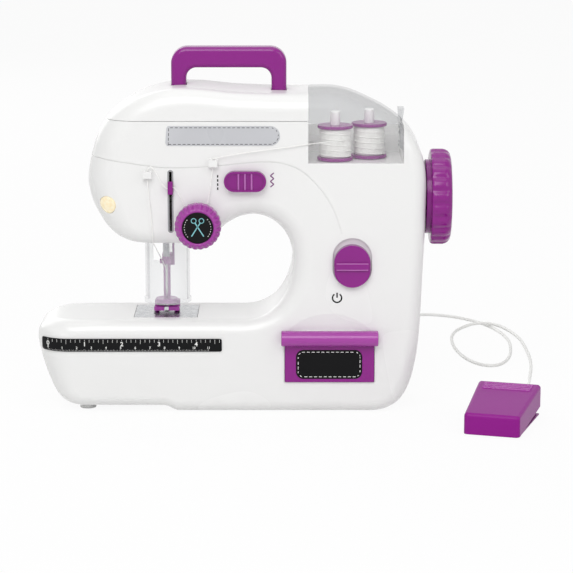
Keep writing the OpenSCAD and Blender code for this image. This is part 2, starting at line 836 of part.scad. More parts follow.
thread_route = concat(
  [[left_at[0] + thread_leave * cos(thread_turn), left_at[1] + thread_leave * sin(thread_turn), thread_z],
   [bay_x0 + thread_notch - thread_lift, front_y + cover_wall + thread_r, thread_z],
   [bay_x0 + thread_lift, thread_lay, thread_z],
   [top_guide[0], guide_y, top_guide[1] + guide_half],
   [top_guide[0], guide_y, top_guide[1] - guide_half],
   [dial_x + thread_dial_r, thread_dial_y, dial_z],
   [dial_x, thread_dial_y, dial_z - thread_dial_r],
   [dial_x - thread_dial_r, thread_dial_y, dial_z],
   [take_up_x + thread_slack, lever_eye_y, lever_z],
   [take_up_x - thread_slack, lever_eye_y, lever_z],
   [left_guide[0] + guide_half, guide_y, left_guide[1] + guide_rise + guide_half],
   [left_guide[0], guide_y, left_guide[1] + guide_half],
   [left_guide[0], guide_y, left_guide[1] - guide_half]],
  [for (a = [0, 30, 60, 90])
    [bend_x, front_y + edge_bend - bend_r * cos(a), head_z + edge_bend - bend_r * sin(a)]],
  [[needle_x - thread_slack / 2, -clamp_r - thread_lift, bar_low_z - clamp_drop],
   [needle_x, -needle_r - thread_lift, bar_low_z - bar_drop / 2],
   [needle_x, -needle_r - thread_lift, needle_tip_z + eye_rise]]);

// Cuts that both halves of the case share
module case_cuts() {
  block([-reach_x, -body_d, seam_z], [bay_x0, body_d, reach_z]);
  for (y = [0, head_hole_back]) disc_z(head_z - over, head_z + wall + over, needle_x, y, head_hole_r);
  block([needle_x - plate_w / 2, -plate_d / 2, plate_low_z - over],
    [needle_x + plate_w / 2, plate_d / 2, bed_h + over]);
  block([-door_w / 2, -door_d / 2, -over], [door_w / 2, door_d / 2, wall + over]);
  disc_x(half_w - edge_r, half_w + over, 0, shaft_z, bush_r + snug);
}
module lamp_place()
  translate([lamp_x, lamp_y, lamp_z]) rotate([0, 0, lamp_turn]) rotate([lamp_tip, 0, 0]) children();

module front_shell() color(white_plastic) {
  difference() {
    union() {
      skin(0, wall);
      for (b = bosses) disc_y(front_y + wall / 2, 0, b[0], b[1], boss_r);
    }
    case_cuts();
    block([bay_x0 - seam, -body_d, bay_z], [bay_x1, over, reach_z]);
    for (b = bosses) disc_y(-screw_grip, over, b[0], b[1], screw_r);
    disc_y(front_y - over, front_y + wall + over, dial_x, dial_z, stud_r + snug);
    along_y(front_y - over, front_y + wall + over) {
      translate([take_up_x, (take_up_low + take_up_high) / 2]) slot(take_up_w, take_up_high - take_up_low);
      translate([selector_x, selector_z])
        square([selector_stem_w + 2 * (selector_travel + air), selector_stem_h + 2 * air], center = true);
      translate([switch_x, recess_z]) slot(recess_w, recess_h);
      translate([drawer_x, drawer_z + drawer_h / 2])
        square([drawer_w + 2 * air, drawer_h + 2 * air], center = true);
    }
    lamp_place() disc_y(-lamp_sink, lamp_sink, 0, 0, lamp_r + air);
    along_y(front_y - over, front_y + groove_t) polygon(concat(
      [for (p = groove) p + [0, groove_w / 2]],
      [for (i = [len(groove) - 1:-1:0]) groove[i] - [0, groove_w / 2]]));
  }
  for (s = [-1, 1])
    block([drawer_x + s * rail_x - rail_w / 2, front_y + wall / 2, drawer_z - air - rail_h],
      [drawer_x + s * rail_x + rail_w / 2, drawer_back - rail_w, drawer_z - air]);
}

module rear_shell() color(white_plastic) {
  difference() {
    union() {
      mirror([0, 1, 0]) skin(0, wall);
      for (b = bosses) disc_y(0, half_d - wall / 2, b[0], b[1], boss_r);
      for (s = [-1, 1]) block([motor_x + s * cradle_x - cradle_t / 2, motor_r + air, motor_z - motor_r],
        [motor_x + s * cradle_x + cradle_t / 2, half_d - wall / 2, motor_z + motor_r]);
    }
    case_cuts();
    block([bay_x0 - seam, -over, bay_rear_z], [bay_x1, body_d, reach_z]);
    for (b = bosses) {
      disc_y(-over, body_d, b[0], b[1], screw_r);
      disc_y(half_d - screw_sink, body_d, b[0], b[1], screw_head_r + air);
    }
    disc_y(inner_y - over, half_d + over, jack_x, jack_z, jack_r + snug);
    disc_y(inner_y - over, half_d + over, lifter_x, lifter_z, lifter_r + run);
  }
  difference() {
    union() {
      disc_x(left_knuckle_x + knuckle_w + air, right_knuckle_x - air, hinge_y, hinge_z, knuckle_r);
      block([left_knuckle_x + knuckle_w + air, inner_y, bay_rear_z - over],
        [right_knuckle_x - air, half_d, hinge_z]);
    }
    disc_x(left_knuckle_x, right_knuckle_x + knuckle_w, hinge_y, hinge_z, hinge_pin_r + snug);
  }
}

module handle_form(gap) intersection() {
  along_y(-handle_d / 2 - gap, handle_d / 2 + gap) translate([handle_x, 0]) difference() {
    arch(handle_w + 2 * gap, handle_low, handle_top, handle_outer_r);
    arch(handle_w - 2 * (handle_leg + gap), handle_low - over, handle_top - handle_bar, handle_inner_r);
  }
  along_x(-handle_w, handle_w) arch(handle_d + 2 * gap, handle_low, handle_top, handle_edge_r);
}
module handle() color(purple_plastic) handle_form(0);

module top_cover() color(white_plastic) difference() {
  both_halves() intersection() {
    skin(0, wall);
    block([-reach_x, -body_d, seam_z + seam], [bay_x0 - seam, over, reach_z]);
  }
  handle_form(seam);
}

module spool_cover() color(clear_plastic) difference() {
  union() {
    intersection() {
      skin(0, cover_wall);
      block([bay_x0, -body_d, bay_z + seam], [bay_x1 - seam, over, reach_z]);
    }
    mirror([0, 1, 0]) intersection() {
      skin(0, cover_wall);
      block([bay_x0, -body_d, cover_rear_z], [bay_x1 - seam, over, reach_z]);
    }
    for (x = [left_knuckle_x, right_knuckle_x]) {
      disc_x(x, x + knuckle_w, hinge_y, hinge_z, knuckle_r);
      block([x, half_d - cover_wall, hinge_z], [x + knuckle_w, half_d, cover_rear_z + over]);
    }
  }
  disc_x(left_knuckle_x - over, right_knuckle_x + knuckle_w + over, hinge_y, hinge_z, hinge_pin_r + run);
  block([bay_x0 - over, -body_d, thread_z - thread_notch / 2],
    [bay_x0 + thread_notch, front_y + cover_wall + over, thread_z + thread_notch / 2]);
}

module cover_hinge_pin() color(steel)
  disc_x(left_knuckle_x - over, right_knuckle_x + knuckle_w + over, hinge_y, hinge_z, hinge_pin_r);

module spool_tray() color(white_plastic) difference() {
  both_halves() intersection() {
    core(wall + air);
    block([bay_x0 - seam - tray_t, -body_d, tray_z - tray_t], [bay_x1 + tray_t, over, reach_z]);
  }
  block([bay_x0 - seam, -body_d, tray_z], [bay_x1, tray_back, reach_z]);
  block([bay_x0 - seam, -body_d, bay_rear_z - air], [bay_x1, body_d, reach_z]);
}

module spool_pins() color(white_plastic) for (at = [left_at, right_at]) translate([at[0], at[1], tray_z])
  rotate_extrude() polygon([[0, 0], [pin_r, 0], [pin_r, pin_h - pin_chamfer],
    [pin_r - pin_chamfer, pin_h], [0, pin_h]]);

module spool(at) color(purple_plastic) translate([at[0], at[1], spool_z]) rotate_extrude() polygon([
  [pin_r + run, 0], [spool_r, 0], [spool_r, flange_t], [hub_r, flange_t], [hub_r, spool_h - flange_t],
  [spool_r, spool_h - flange_t], [spool_r, spool_h], [pin_r + run, spool_h]]);
module left_spool() spool(left_at);
module right_spool() spool(right_at);

// Wound thread: a sleeve for the inner layers and a coil for the outer one, with its least gap measured
function coil(at) = [for (i = [0:thread_turns * coil_steps]) let (a = 360 * i / coil_steps)
  [at[0] + coil_r * cos(a), at[1] + coil_r * sin(a), wind_low + thread_d + wind_pitch * i / coil_steps]];
module wound(at) color(white_plastic) {
  path = coil(at);
  gaps = [for (i = [0:len(path) - 1 - coil_steps]) norm(path[i + coil_steps] - path[i]) - thread_d];
  echo("least gap between turns", min(gaps));
  along_z(wind_low + run, wind_high - run) translate(at) tube(sleeve_r, hub_r + run);
  rope(path, thread_d / 2, coil_sides, [0, 0, 1]);
}
module left_thread() wound(left_at);
module right_thread() wound(right_at);

module thread_run() color(white_plastic)
  rope(smooth(thread_route, thread_steps), thread_r, thread_sides, [0, 1, 0]);

module thread_guides() color(white_plastic) for (at = [left_guide, top_guide]) difference() {
  block([at[0] - guide_half, front_y - guide_out, at[1] - guide_rise],
    [at[0] + guide_half, front_y, at[1] + guide_rise]);
  disc_z(at[1] - guide_rise - over, at[1] + guide_rise + over, at[0], guide_y, guide_hole_r);
}

module slot_liner() color(grey_plastic) intersection() {
  core(wall + snug);
  along_y(front_y, front_y + wall + liner_t)
    translate([take_up_x, (take_up_low + take_up_high) / 2]) difference() {
      square([take_up_w + 2 * liner_edge, take_up_high - take_up_low + 2 * liner_edge], center = true);
      slot(lever_stem + 2 * air, take_up_high - take_up_low);
    }
}

module take_up_lever() color(purple_plastic) difference() {
  union() {
    disc_z(lever_z - lever_arm_h / 2, lever_z + lever_arm_h / 2, needle_x, 0, lever_collar_r);
    block([lever_arm_x - lever_arm_w, lever_bend, lever_z - lever_arm_h / 2],
      [lever_arm_x, 0, lever_z + lever_arm_h / 2]);
    block([lever_arm_x - lever_arm_w, lever_bend, lever_z - lever_arm_h / 2],
      [take_up_x + lever_stem / 2, lever_bend + lever_arm_t, lever_z + lever_arm_h / 2]);
    block([take_up_x - lever_stem / 2, front_y - lever_out + over, lever_z - lever_arm_h / 2],
      [take_up_x + lever_stem / 2, lever_bend + lever_arm_t, lever_z + lever_arm_h / 2]);
    block([take_up_x - lever_w / 2, front_y - lever_out, lever_z - lever_h / 2],
      [take_up_x + lever_w / 2, front_y - lever_gap, lever_z + lever_h / 2]);
  }
  disc_z(lever_z - lever_h, lever_z + lever_h, needle_x, 0, bar_r + snug);
  disc_x(take_up_x - lever_w, take_up_x + lever_w, lever_eye_y, lever_z, lever_eye_r);
  block([rod_x0 - air, -lever_collar_r - over, lever_z - lever_h],
    [rod_x1 + over, lever_collar_r + over, lever_z + lever_h]);
}

module tension_stud() color(steel) {
  disc_y(dial_y - dial_bore + air, front_y + wall + nut_gap + over, dial_x, dial_z, stud_r);
  disc_y(front_y + wall + nut_gap, front_y + wall + nut_gap + nut_t, dial_x, dial_z, nut_r);
}
module tension_knob() color(purple_plastic)
  translate([dial_x, dial_y, dial_z]) rotate([90, 0, 0]) difference() {
  rotate_extrude() polygon([[0, 0], [dial_r - dial_soft / 2, 0], [dial_r, dial_soft / 2],
    [dial_r, dial_t - dial_soft], [dial_r - dial_soft, dial_t], [dial_face_r + snug, dial_t],
    [dial_face_r + snug, dial_t - dial_face_t], [0, dial_t - dial_face_t]]);
  along_z(-over, dial_bore) circle(stud_r + run);
  along_z(-over, dial_t + over) for (i = [0:dial_flutes - 1])
    rotate(360 * i / dial_flutes) translate([dial_r + dial_flute_r / 2, 0]) circle(dial_flute_r);
}
module tension_face() color(black_plastic)
  disc_y(dial_y - dial_t, dial_y - dial_t + dial_face_t, dial_x, dial_z, dial_face_r);

module selector_knob() color(purple_plastic) {
  face = front_y - air - selector_t;
  along_y(face, front_y - air) translate([selector_x, selector_z]) slot(selector_w, selector_h);
  along_y(face - rib_t, face + over) for (i = [0:selector_ribs - 1])
    translate([selector_x + (i - (selector_ribs - 1) / 2) * rib_gap, selector_z])
      square([rib_w, rib_h_share * selector_h], center = true);
  along_y(front_y - air - over, front_y + wall + air + over) translate([selector_x, selector_z])
    square([selector_stem_w, selector_stem_h], center = true);
  along_y(front_y + wall + air, front_y + wall + air + clip_t) translate([selector_x, selector_z])
    square([clip_w, clip_h], center = true);
}

module switch_knob() color(purple_plastic) {
  along_y(front_y - switch_proud, front_y + wall) translate([switch_x, switch_z]) slot(switch_w, switch_h);
  along_y(front_y - switch_proud - grip_t, front_y - switch_proud + over) translate([switch_x, switch_z])
    square([switch_w - 2 * switch_edge, grip_h], center = true);
}
module switch_body() color(white_plastic)
  along_y(front_y + wall + air, front_y + wall + air + switch_box_d) translate([switch_x, recess_z])
    square([recess_w + 2 * recess_edge, recess_h + 2 * recess_edge], center = true);

module drawer() color(purple_plastic) {
  difference() {
    block([drawer_x - drawer_w / 2, front_y - drawer_proud, drawer_z],
      [drawer_x + drawer_w / 2, drawer_back, drawer_top]);
    block([drawer_x - drawer_w / 2 + drawer_wall, front_y + wall, drawer_z + drawer_wall],
      [drawer_x + drawer_w / 2 - drawer_wall, drawer_back - drawer_wall, drawer_top + over]);
    block([drawer_x - drawer_w, front_y + wall, drawer_top - drawer_rim],
      [drawer_x + drawer_w, drawer_back + over, drawer_top + over]);
  }
  along_x(drawer_x - drawer_w / 2 - lip_over, drawer_x + drawer_w / 2 + lip_over) intersection() {
    union() {
      translate([front_y - lip_out + lip_h / 2, drawer_top + lip_h / 2]) circle(lip_h / 2);
      translate([front_y - lip_out + lip_h / 2, drawer_top]) square([lip_out - lip_h / 2 - air, lip_h]);
    }
    translate([front_y - lip_out - over, drawer_top - over]) square([lip_out + over - air, lip_h + 2 * over]);
  }
  block([drawer_x - drawer_w / 2, front_y - drawer_proud, drawer_top - over],
    [drawer_x + drawer_w / 2, front_y - air, drawer_top + over]);
}

module ruler_strip() color(black_plastic) intersection() {
  skin(-ruler_t, -ruler_lift, strip_turns);
  block([ruler_x1 - ruler_len, -body_d, ruler_z], [ruler_x1, -over, ruler_z + ruler_h]);
}

module lamp_lens() color(clear_plastic) lamp_place() intersection() {
  disc_y(-lamp_proud, lamp_lens_t, 0, 0, lamp_r);
  translate([0, lamp_dome_r - lamp_proud, 0]) sphere(lamp_dome_r, $fn = dome_sides);
}
module lamp_led() color(white_plastic) lamp_place() {
  translate([0, led_y + led_r, 0]) sphere(led_r);
  disc_y(led_y + led_r, led_y + led_len, 0, 0, led_r);
  disc_y(led_y + led_len, led_y + led_len + led_flange_t, 0, 0, led_flange_r);
}

module needle_bar() color(steel) {
  disc_z(bar_low_z, bar_top_z, needle_x, 0, bar_r);
  disc_x(needle_x, rod_x1, 0, rod_low_z, crank_pin_r);
}
module needle_clamp() color(purple_plastic) difference() {
  union() {
    disc_z(bar_low_z - clamp_drop, bar_low_z + clamp_rise, needle_x, 0, clamp_r);
    disc_x(needle_x - clamp_r - clamp_knob_t, needle_x - bar_r, 0, bar_low_z - clamp_knob_r, clamp_knob_r);
  }
  disc_z(bar_low_z, bar_low_z + clamp_rise + over, needle_x, 0, bar_r + snug);
  disc_z(bar_low_z - clamp_drop - over, bar_low_z + over, needle_x, 0, needle_r + snug);
}
module needle() color(steel) difference() {
  union() {
    disc_z(needle_tip_z + needle_point, bar_low_z - snug, needle_x, 0, needle_r);
    translate([needle_x, 0, needle_tip_z]) cylinder(h = needle_point, r1 = 0, r2 = needle_r);
  }
  disc_y(-clamp_r, clamp_r, needle_x, needle_tip_z + eye_rise, eye_r);
}
module connecting_rod() color(steel) along_x(rod_x0, rod_x1) difference() {
  union() {
    for (z = [crank_z, rod_low_z]) translate([0, z]) circle(rod_ring_r);
    translate([-rod_w / 2, rod_low_z]) square([rod_w, rod_len]);
  }
  translate([0, crank_z]) circle(crank_pin_r + run);
  translate([0, rod_low_z]) circle(crank_pin_r + snug);
}
module crank_disc() color(steel) difference() {
  union() {
    disc_x(crank_x0, crank_x0 + crank_t, 0, shaft_z, crank_r);
    disc_x(rod_x1 + air, crank_x0 + crank_floor, 0, crank_z, crank_pin_r);
  }
  disc_x(crank_x0 + crank_floor, crank_x0 + crank_t + over, 0, shaft_z, shaft_r + snug);
}

module presser_bar() color(steel) {
  disc_z(presser_low_z, presser_top_z, needle_x, presser_y, presser_r);
  disc_z(collar_z, collar_z + collar_t, needle_x, presser_y, collar_r);
}
module presser_spring() color(steel) along_z(collar_z + collar_t + air, guide_top_z - air)
  translate([needle_x, presser_y]) tube(presser_r + air + spring_wire, presser_r + air);
module presser_foot() color(purple_plastic) difference() {
  union() {
    block([needle_x - foot_block_left, shank_front, presser_low_z - over],
      [needle_x + foot_block_right, foot_block_back, presser_low_z + foot_block_h]);
    block([needle_x + foot_block_right - bracket_t, shank_front, presser_low_z],
      [needle_x + foot_block_right, shank_back, presser_low_z + foot_block_h + bracket_h]);
    block([needle_x - shank_w / 2, shank_front, disc_z0],
      [needle_x + shank_w / 2, shank_back, presser_low_z]);
    disc_z(disc_z0, disc_z0 + disc_t, needle_x, 0, disc_r);
    block([needle_x + toe_left, bridge_y, foot_z], [needle_x + toe_right, toe_back, disc_z0 + over]);
    block([needle_x + toe_left, toe_front, foot_z], [needle_x - toe_gap / 2, toe_back, foot_z + toe_t]);
    block([needle_x + toe_gap / 2, toe_front, foot_z], [needle_x + toe_right, toe_back, foot_z + toe_t]);
  }
  disc_z(foot_z - over, disc_z0 + disc_t + over, needle_x, 0, foot_hole_r);
  disc_z(presser_low_z, presser_low_z + foot_block_h + over, needle_x, presser_y, presser_r + snug);
}
module presser_lifter() color(purple_plastic) {
  disc_y(lifter_in_y, half_d + air + lifter_arm_t, lifter_x, lifter_z, lifter_r);
  along_y(half_d + air, half_d + air + lifter_arm_t)
    translate([lifter_x, lifter_z - lifter_arm_len / 2]) slot(lifter_arm_w, lifter_arm_len + lifter_arm_w);
  along_y(lifter_in_y, lifter_in_y + lifter_arm_t)
    translate([lifter_x - lifter_cam_len / 2, lifter_z]) slot(lifter_cam_len + lifter_cam_h, lifter_cam_h);
}

module needle_guard() color(clear_plastic) difference() {
  union() {
    along_z(guard_low_z, guard_top_z) translate([guard_x, 0]) tube(guard_r, guard_r - guard_wall);
    along_z(guard_low_z, guard_low_z + guard_flare_h) translate([guard_x, 0])
      tube(guard_r + guard_flare, guard_r - guard_wall);
  }
  block([guard_x - 2 * guard_r, guard_back, guard_low_z - over],
    [guard_x + 2 * guard_r, 2 * guard_r, guard_top_z + over]);
  block([guard_x - notch_left, -2 * guard_r, guard_top_z - notch_h],
    [guard_x - notch_right, 0, guard_top_z + over]);
  for (y = [0, head_hole_back]) disc_z(guide_low_z - air, guard_top_z + over, needle_x, y, head_hole_r);
}

module needle_plate() color(steel) difference() {
  block([needle_x - plate_w / 2 + seam, -plate_d / 2 + seam, plate_low_z],
    [needle_x + plate_w / 2 - seam, plate_d / 2 - seam, bed_h]);
  disc_z(plate_low_z - over, bed_h + over, needle_x, 0, foot_hole_r);
  for (s = [-1, 1]) block(
    [needle_x + s * feed_x - feed_w / 2 - air, -feed_len / 2 - feed_travel - air, plate_low_z - over],
    [needle_x + s * feed_x + feed_w / 2 + air, feed_len / 2 + feed_travel + air, bed_h + over]);
}
module feed_dog() color(steel) {
  tooth = feed_len / feed_n;
  for (s = [-1, 1]) along_x(needle_x + s * feed_x - feed_w / 2, needle_x + s * feed_x + feed_w / 2)
    polygon(concat([[-feed_len / 2, feed_low_z]],
      [for (i = [0:feed_n - 1]) each [[i * tooth - feed_len / 2, bed_h],
        [(i + 1) * tooth - feed_len / 2, bed_h + feed_proud]]],
      [[feed_len / 2, feed_low_z]]));
  for (y = [-feed_len / 2, feed_len / 2 - feed_bar_t])
    block([needle_x - feed_x, y, feed_low_z], [needle_x + feed_x, y + feed_bar_t, feed_low_z + feed_bar_t]);
}
module looper() color(steel) difference() {
  union() {
    disc_y(loop_y0, loop_y0 + loop_hub_t, loop_x, loop_z, loop_hub_r);
    along_y(loop_y0, loop_y0 + loop_arm_t) polygon([for (s = loop_arm_shares)
      [needle_x + s[0] * loop_side, loop_z + s[1] * loop_reach]]);
  }
  disc_y(loop_y0 - over, loop_y0 + loop_hub_t + over, loop_x, loop_z, loop_pin_r + run);
}
module lower_frame() color(steel) {
  inner_edge = plate_d / 2 - ring_in;
  hub_back = loop_y0 + loop_hub_t + air;
  along_z(ring_low_z, plate_low_z) translate([needle_x, 0]) difference() {
    square([plate_w + 2 * ring_out, plate_d + 2 * ring_out], center = true);
    square([plate_w - 2 * ring_in, plate_d - 2 * ring_in], center = true);
  }
  block([loop_x - arm_w / 2, inner_edge - over, loop_z - arm_w / 2],
    [loop_x + arm_w / 2, inner_edge + arm_t, ring_low_z + over]);
  block([loop_x - arm_w / 2, hub_back, loop_z - arm_w / 2],
    [loop_x + arm_w / 2, inner_edge + arm_t, loop_z + arm_w / 2]);
  disc_y(loop_y0, hub_back + over, loop_x, loop_z, loop_pin_r);
  block([needle_x - feed_x, -inner_edge - arm_t, feed_low_z - air - ledge_t],
    [needle_x + feed_x, -feed_len / 2 + feed_bar_t, feed_low_z - air]);
  block([needle_x - feed_x, -inner_edge - arm_t, feed_low_z - air - ledge_t],
    [needle_x + feed_x, -inner_edge + over, ring_low_z + over]);
}

module head_frame() color(steel) difference() {
  union() {
    block([needle_x - frame_left, frame_y, frame_low_z],
      [needle_x + frame_right, frame_y + frame_t, guide_top_z + guide_t]);
    block([needle_x - frame_left, -bar_r - guide_edge, guide_top_z],
      [needle_x + frame_left, frame_y + over, guide_top_z + guide_t]);
    for (y = [0, head_hole_back])
      disc_z(guide_low_z, guide_low_z + guide_t, needle_x, y, head_hole_r - air);
    block([needle_x - frame_neck, head_hole_back, guide_low_z],
      [needle_x + frame_neck, frame_y + over, frame_low_z + frame_t]);
    block([left_bush_x, -bush_block, shaft_z - bush_block],
      [left_bush_x + bush_len, frame_y + over, shaft_z + bush_block]);
    for (s = post_shares) disc_y(frame_y + over, inner_y,
      needle_x + s[0] * frame_right, frame_low_z + s[1] * (guide_top_z - frame_low_z), post_r);
  }
  disc_z(guide_low_z - over, guide_top_z + guide_t + over, needle_x, 0, bar_r + run);
  disc_z(guide_low_z - over, guide_top_z + guide_t + over, needle_x, presser_y, presser_r + run);
  disc_x(left_bush_x - over, left_bush_x + bush_len + over, 0, shaft_z, bush_r + snug);
  block([needle_x + foot_block_right - bracket_t - air, shank_front - air, guide_low_z - over],
    [needle_x + foot_block_right + air, shank_back + air, frame_low_z + frame_t + over]);
}

module main_shaft() color(steel)
  disc_x(crank_x0 + crank_floor, wheel_x + wheel_w - wheel_cap, 0, shaft_z, shaft_r);
module bush(x0, x1) difference() {
  union() {
    disc_x(x0 - bush_flange_t, x0, 0, shaft_z, bush_flange_r);
    disc_x(x0 - bush_flange_t, x1, 0, shaft_z, bush_r);
  }
  disc_x(x0 - bush_flange_t - over, x1 + over, 0, shaft_z, shaft_r + run);
}
module shaft_bushes() color(brass) {
  bush(left_bush_x, left_bush_x + bush_len);
  bush(right_bush_x, half_w + air);
}
module handwheel() color(purple_plastic) difference() {
  translate([wheel_x, 0, shaft_z]) rotate([0, 90, 0]) rotate_extrude() polygon([
    [0, 0], [wheel_collar_r, 0], [wheel_collar_r, wheel_collar_t],
    [wheel_r - wheel_soft / 2, wheel_collar_t], [wheel_r, wheel_collar_t + wheel_soft / 2],
    [wheel_r, wheel_w - wheel_soft], [wheel_r - wheel_soft, wheel_w], [wheel_r - wheel_rim_w, wheel_w],
    [wheel_r - wheel_rim_w - wheel_dish, wheel_w - wheel_dish],
    [wheel_boss_r + wheel_dish, wheel_w - wheel_dish], [wheel_boss_r, wheel_w], [0, wheel_w]]);
  along_x(wheel_x + wheel_collar_t - over, wheel_x + wheel_w + over) translate([0, shaft_z])
    for (i = [0:wheel_flutes - 1])
      rotate(360 * i / wheel_flutes) translate([wheel_r + wheel_flute_out, 0]) circle(wheel_flute_r);
  disc_x(wheel_x - over, wheel_x + wheel_w - wheel_cap, 0, shaft_z, shaft_r + snug);
}
module drive_gear() color(white_plastic) {
  along_x(gear_x0, gear_x0 + gear_t) translate([0, shaft_z]) difference() {
    rotate(-90) gear_outline(gear_teeth);
    circle(shaft_r + snug);
  }
  along_x(gear_x0 + gear_t - over, gear_x0 + gear_t + gear_hub_t) translate([0, shaft_z])
    tube(gear_hub_r, shaft_r + snug);
}
module motor() color(steel) difference() {
  union() {
    disc_x(motor_x - motor_len / 2, motor_x + motor_len / 2, 0, motor_z, motor_r);
    disc_x(motor_x, motor_x + motor_len / 2 + motor_boss_t, 0, motor_z, motor_boss_r);
  }
  disc_x(motor_x - air, motor_x + motor_len, 0, motor_z, motor_shaft_r + run);
}
module motor_pinion() color(brass) {
  along_x(gear_x0 - pinion_over, gear_x0 + gear_t + pinion_over) translate([0, motor_z])
    rotate(90 + 180 / pinion_teeth) gear_outline(pinion_teeth);
  disc_x(motor_x, gear_x0 + over, 0, motor_z, motor_shaft_r);
}

module battery_door() color(white_plastic)
  block([-door_w / 2 + seam, -door_d / 2 + seam, 0], [door_w / 2 - seam, door_d / 2 - seam, door_t]);
module batteries() color(black_plastic) for (i = [-1:1]) {
  disc_x(-cell_len / 2, cell_len / 2 - cell_cap_t, i * (cell_d + cell_gap), cell_z, cell_r);
  disc_x(0, cell_len / 2, i * (cell_d + cell_gap), cell_z, cell_cap_r);
}
module battery_contacts() color(steel) for (s = [-1, 1]) {
  x = s * (cell_len / 2 + air + contact_t / 2);
  block([x - contact_t / 2, -cell_d - cell_r, cell_z - contact_h / 2],
    [x + contact_t / 2, cell_d + cell_r, cell_z + contact_h / 2]);
}
module feet() color(white_plastic) for (s = [-1, 1]) disc_z(0, step_z, feet_x, s * foot_y, foot_r);
module case_screws() color(steel) for (b = bosses) {
  disc_y(half_d - screw_sink, half_d - screw_sink + screw_head_t, b[0], b[1], screw_head_r);
  disc_y(over - screw_grip, half_d - screw_sink + over, b[0], b[1], screw_r - snug);
}

module jack_socket() color(black_plastic) difference() {
  union() {
    disc_y(half_d - jack_depth, jack_face, jack_x, jack_z, jack_r);
    disc_y(half_d, jack_face, jack_x, jack_z, jack_flange_r);
  }
  disc_y(jack_face - jack_bore, jack_face + over, jack_x, jack_z, jack_bore_r);
}
module jack_plug() color(white_plastic) {
  disc_y(jack_face - jack_bore + over, plug_y + over, jack_x, jack_z, plug_pin_r);
  disc_y(plug_y, plug_y + plug_len, jack_x, jack_z, plug_r);
  translate([jack_x, plug_y + plug_len, jack_z]) rotate([-90, 0, 0])
    cylinder(h = relief_len, r1 = relief_r, r2 = cord_d / 2 + relief_wall);
}
module cord() color(white_plastic)
  rope([for (p = smooth(cord_route, cord_steps)) [p[0], p[1], max(p[2], cord_d / 2)]],
    cord_d / 2, cord_sides, [0, 0, 1]);

module pedal_place() translate([pedal_x, pedal_y, 0]) rotate([0, 0, pedal_yaw]) children();
module pedal_plan() polygon([[-pedal_front_w / 2, 0], [pedal_front_w / 2, 0],
  [pedal_back_w / 2, pedal_d], [-pedal_back_w / 2, pedal_d]]);
module soft_corners() offset(r = pedal_soft) offset(delta = -pedal_soft) children();
module pedal_base() color(purple_plastic) pedal_place() {
  along_z(0, pedal_block_h) offset(delta = -pedal_block_in) pedal_plan();
  intersection() {
    along_z(0, pedal_floor_t) offset(delta = -pedal_floor_in) pedal_plan();
    block([-pedal_back_w, pedal_floor_y, -over], [pedal_back_w, pedal_d, pedal_floor_t + over]);
  }
  for (s = [-1, 1]) difference() {
    block([s * pedal_ear_x - pedal_lug / 2, pedal_pin_y - pedal_lug, pedal_block_h - over],
      [s * pedal_ear_x + pedal_lug / 2, pedal_pin_y + pedal_lug, pedal_pin_z + pedal_lug]);
    disc_x(-pedal_back_w, pedal_back_w, pedal_pin_y, pedal_pin_z, pedal_pin_r + snug);
  }
}
module pedal_treadle() color(purple_plastic) pedal_place() difference() {
  union() {
    difference() {
      intersection() {
        along_x(-pedal_back_w, pedal_back_w) soft_corners() polygon([[0, pedal_front_gap],
          [0, pedal_front_h], [pedal_d, pedal_back_h], [pedal_d, pedal_back_gap]]);
        along_z(0, 2 * pedal_back_h) soft_corners() pedal_plan();
      }
      intersection() {
        along_x(-pedal_back_w, pedal_back_w) polygon([[pedal_wall, -over],
          [pedal_wall, pedal_roof(pedal_wall) - pedal_wall],
          [pedal_d - pedal_wall, pedal_roof(pedal_d - pedal_wall) - pedal_wall],
          [pedal_d - pedal_wall, -over]]);
        along_z(-over, 2 * pedal_back_h) offset(delta = -pedal_wall) pedal_plan();
      }
    }
    for (s = [-1, 1]) block(
      [s * pedal_rib_x - pedal_lug / 2, pedal_pin_y - pedal_lug, pedal_pin_z - pedal_lug],
      [s * pedal_rib_x + pedal_lug / 2, pedal_pin_y + pedal_lug, pedal_front_h]);
    for (i = [0:pedal_ridges - 1]) let (y = pedal_d - pedal_ridge_end - i * pedal_ridge_step)
      disc_x(-pedal_back_w / 2 + pedal_ridge_in, pedal_back_w / 2 - pedal_ridge_in, y, pedal_roof(y),
        pedal_ridge_r);
  }
  disc_x(-pedal_rib_x - pedal_lug, pedal_rib_x + pedal_lug, pedal_pin_y, pedal_pin_z, pedal_pin_r + run);
  block([gland_x - gland_r - 2 * air, pedal_d - pedal_wall - over, -over],
    [gland_x + gland_r + 2 * air, pedal_d + over, gland_z + gland_r + gland_play]);
}
module pedal_pin() color(steel) pedal_place()
  disc_x(-pedal_ear_x - pedal_lug / 2, pedal_ear_x + pedal_lug / 2, pedal_pin_y, pedal_pin_z, pedal_pin_r);
module pedal_spring() color(steel) pedal_place()
  along_z(pedal_block_h, pedal_roof(pedal_spring_y - pedal_spring_r) - pedal_wall - air)
    translate([0, pedal_spring_y]) tube(pedal_spring_r, pedal_spring_r - spring_wire);
module pedal_gland() color(black_plastic) pedal_place()
  disc_y(pedal_d - pedal_block_in, gland_end, gland_x, gland_z, gland_r);

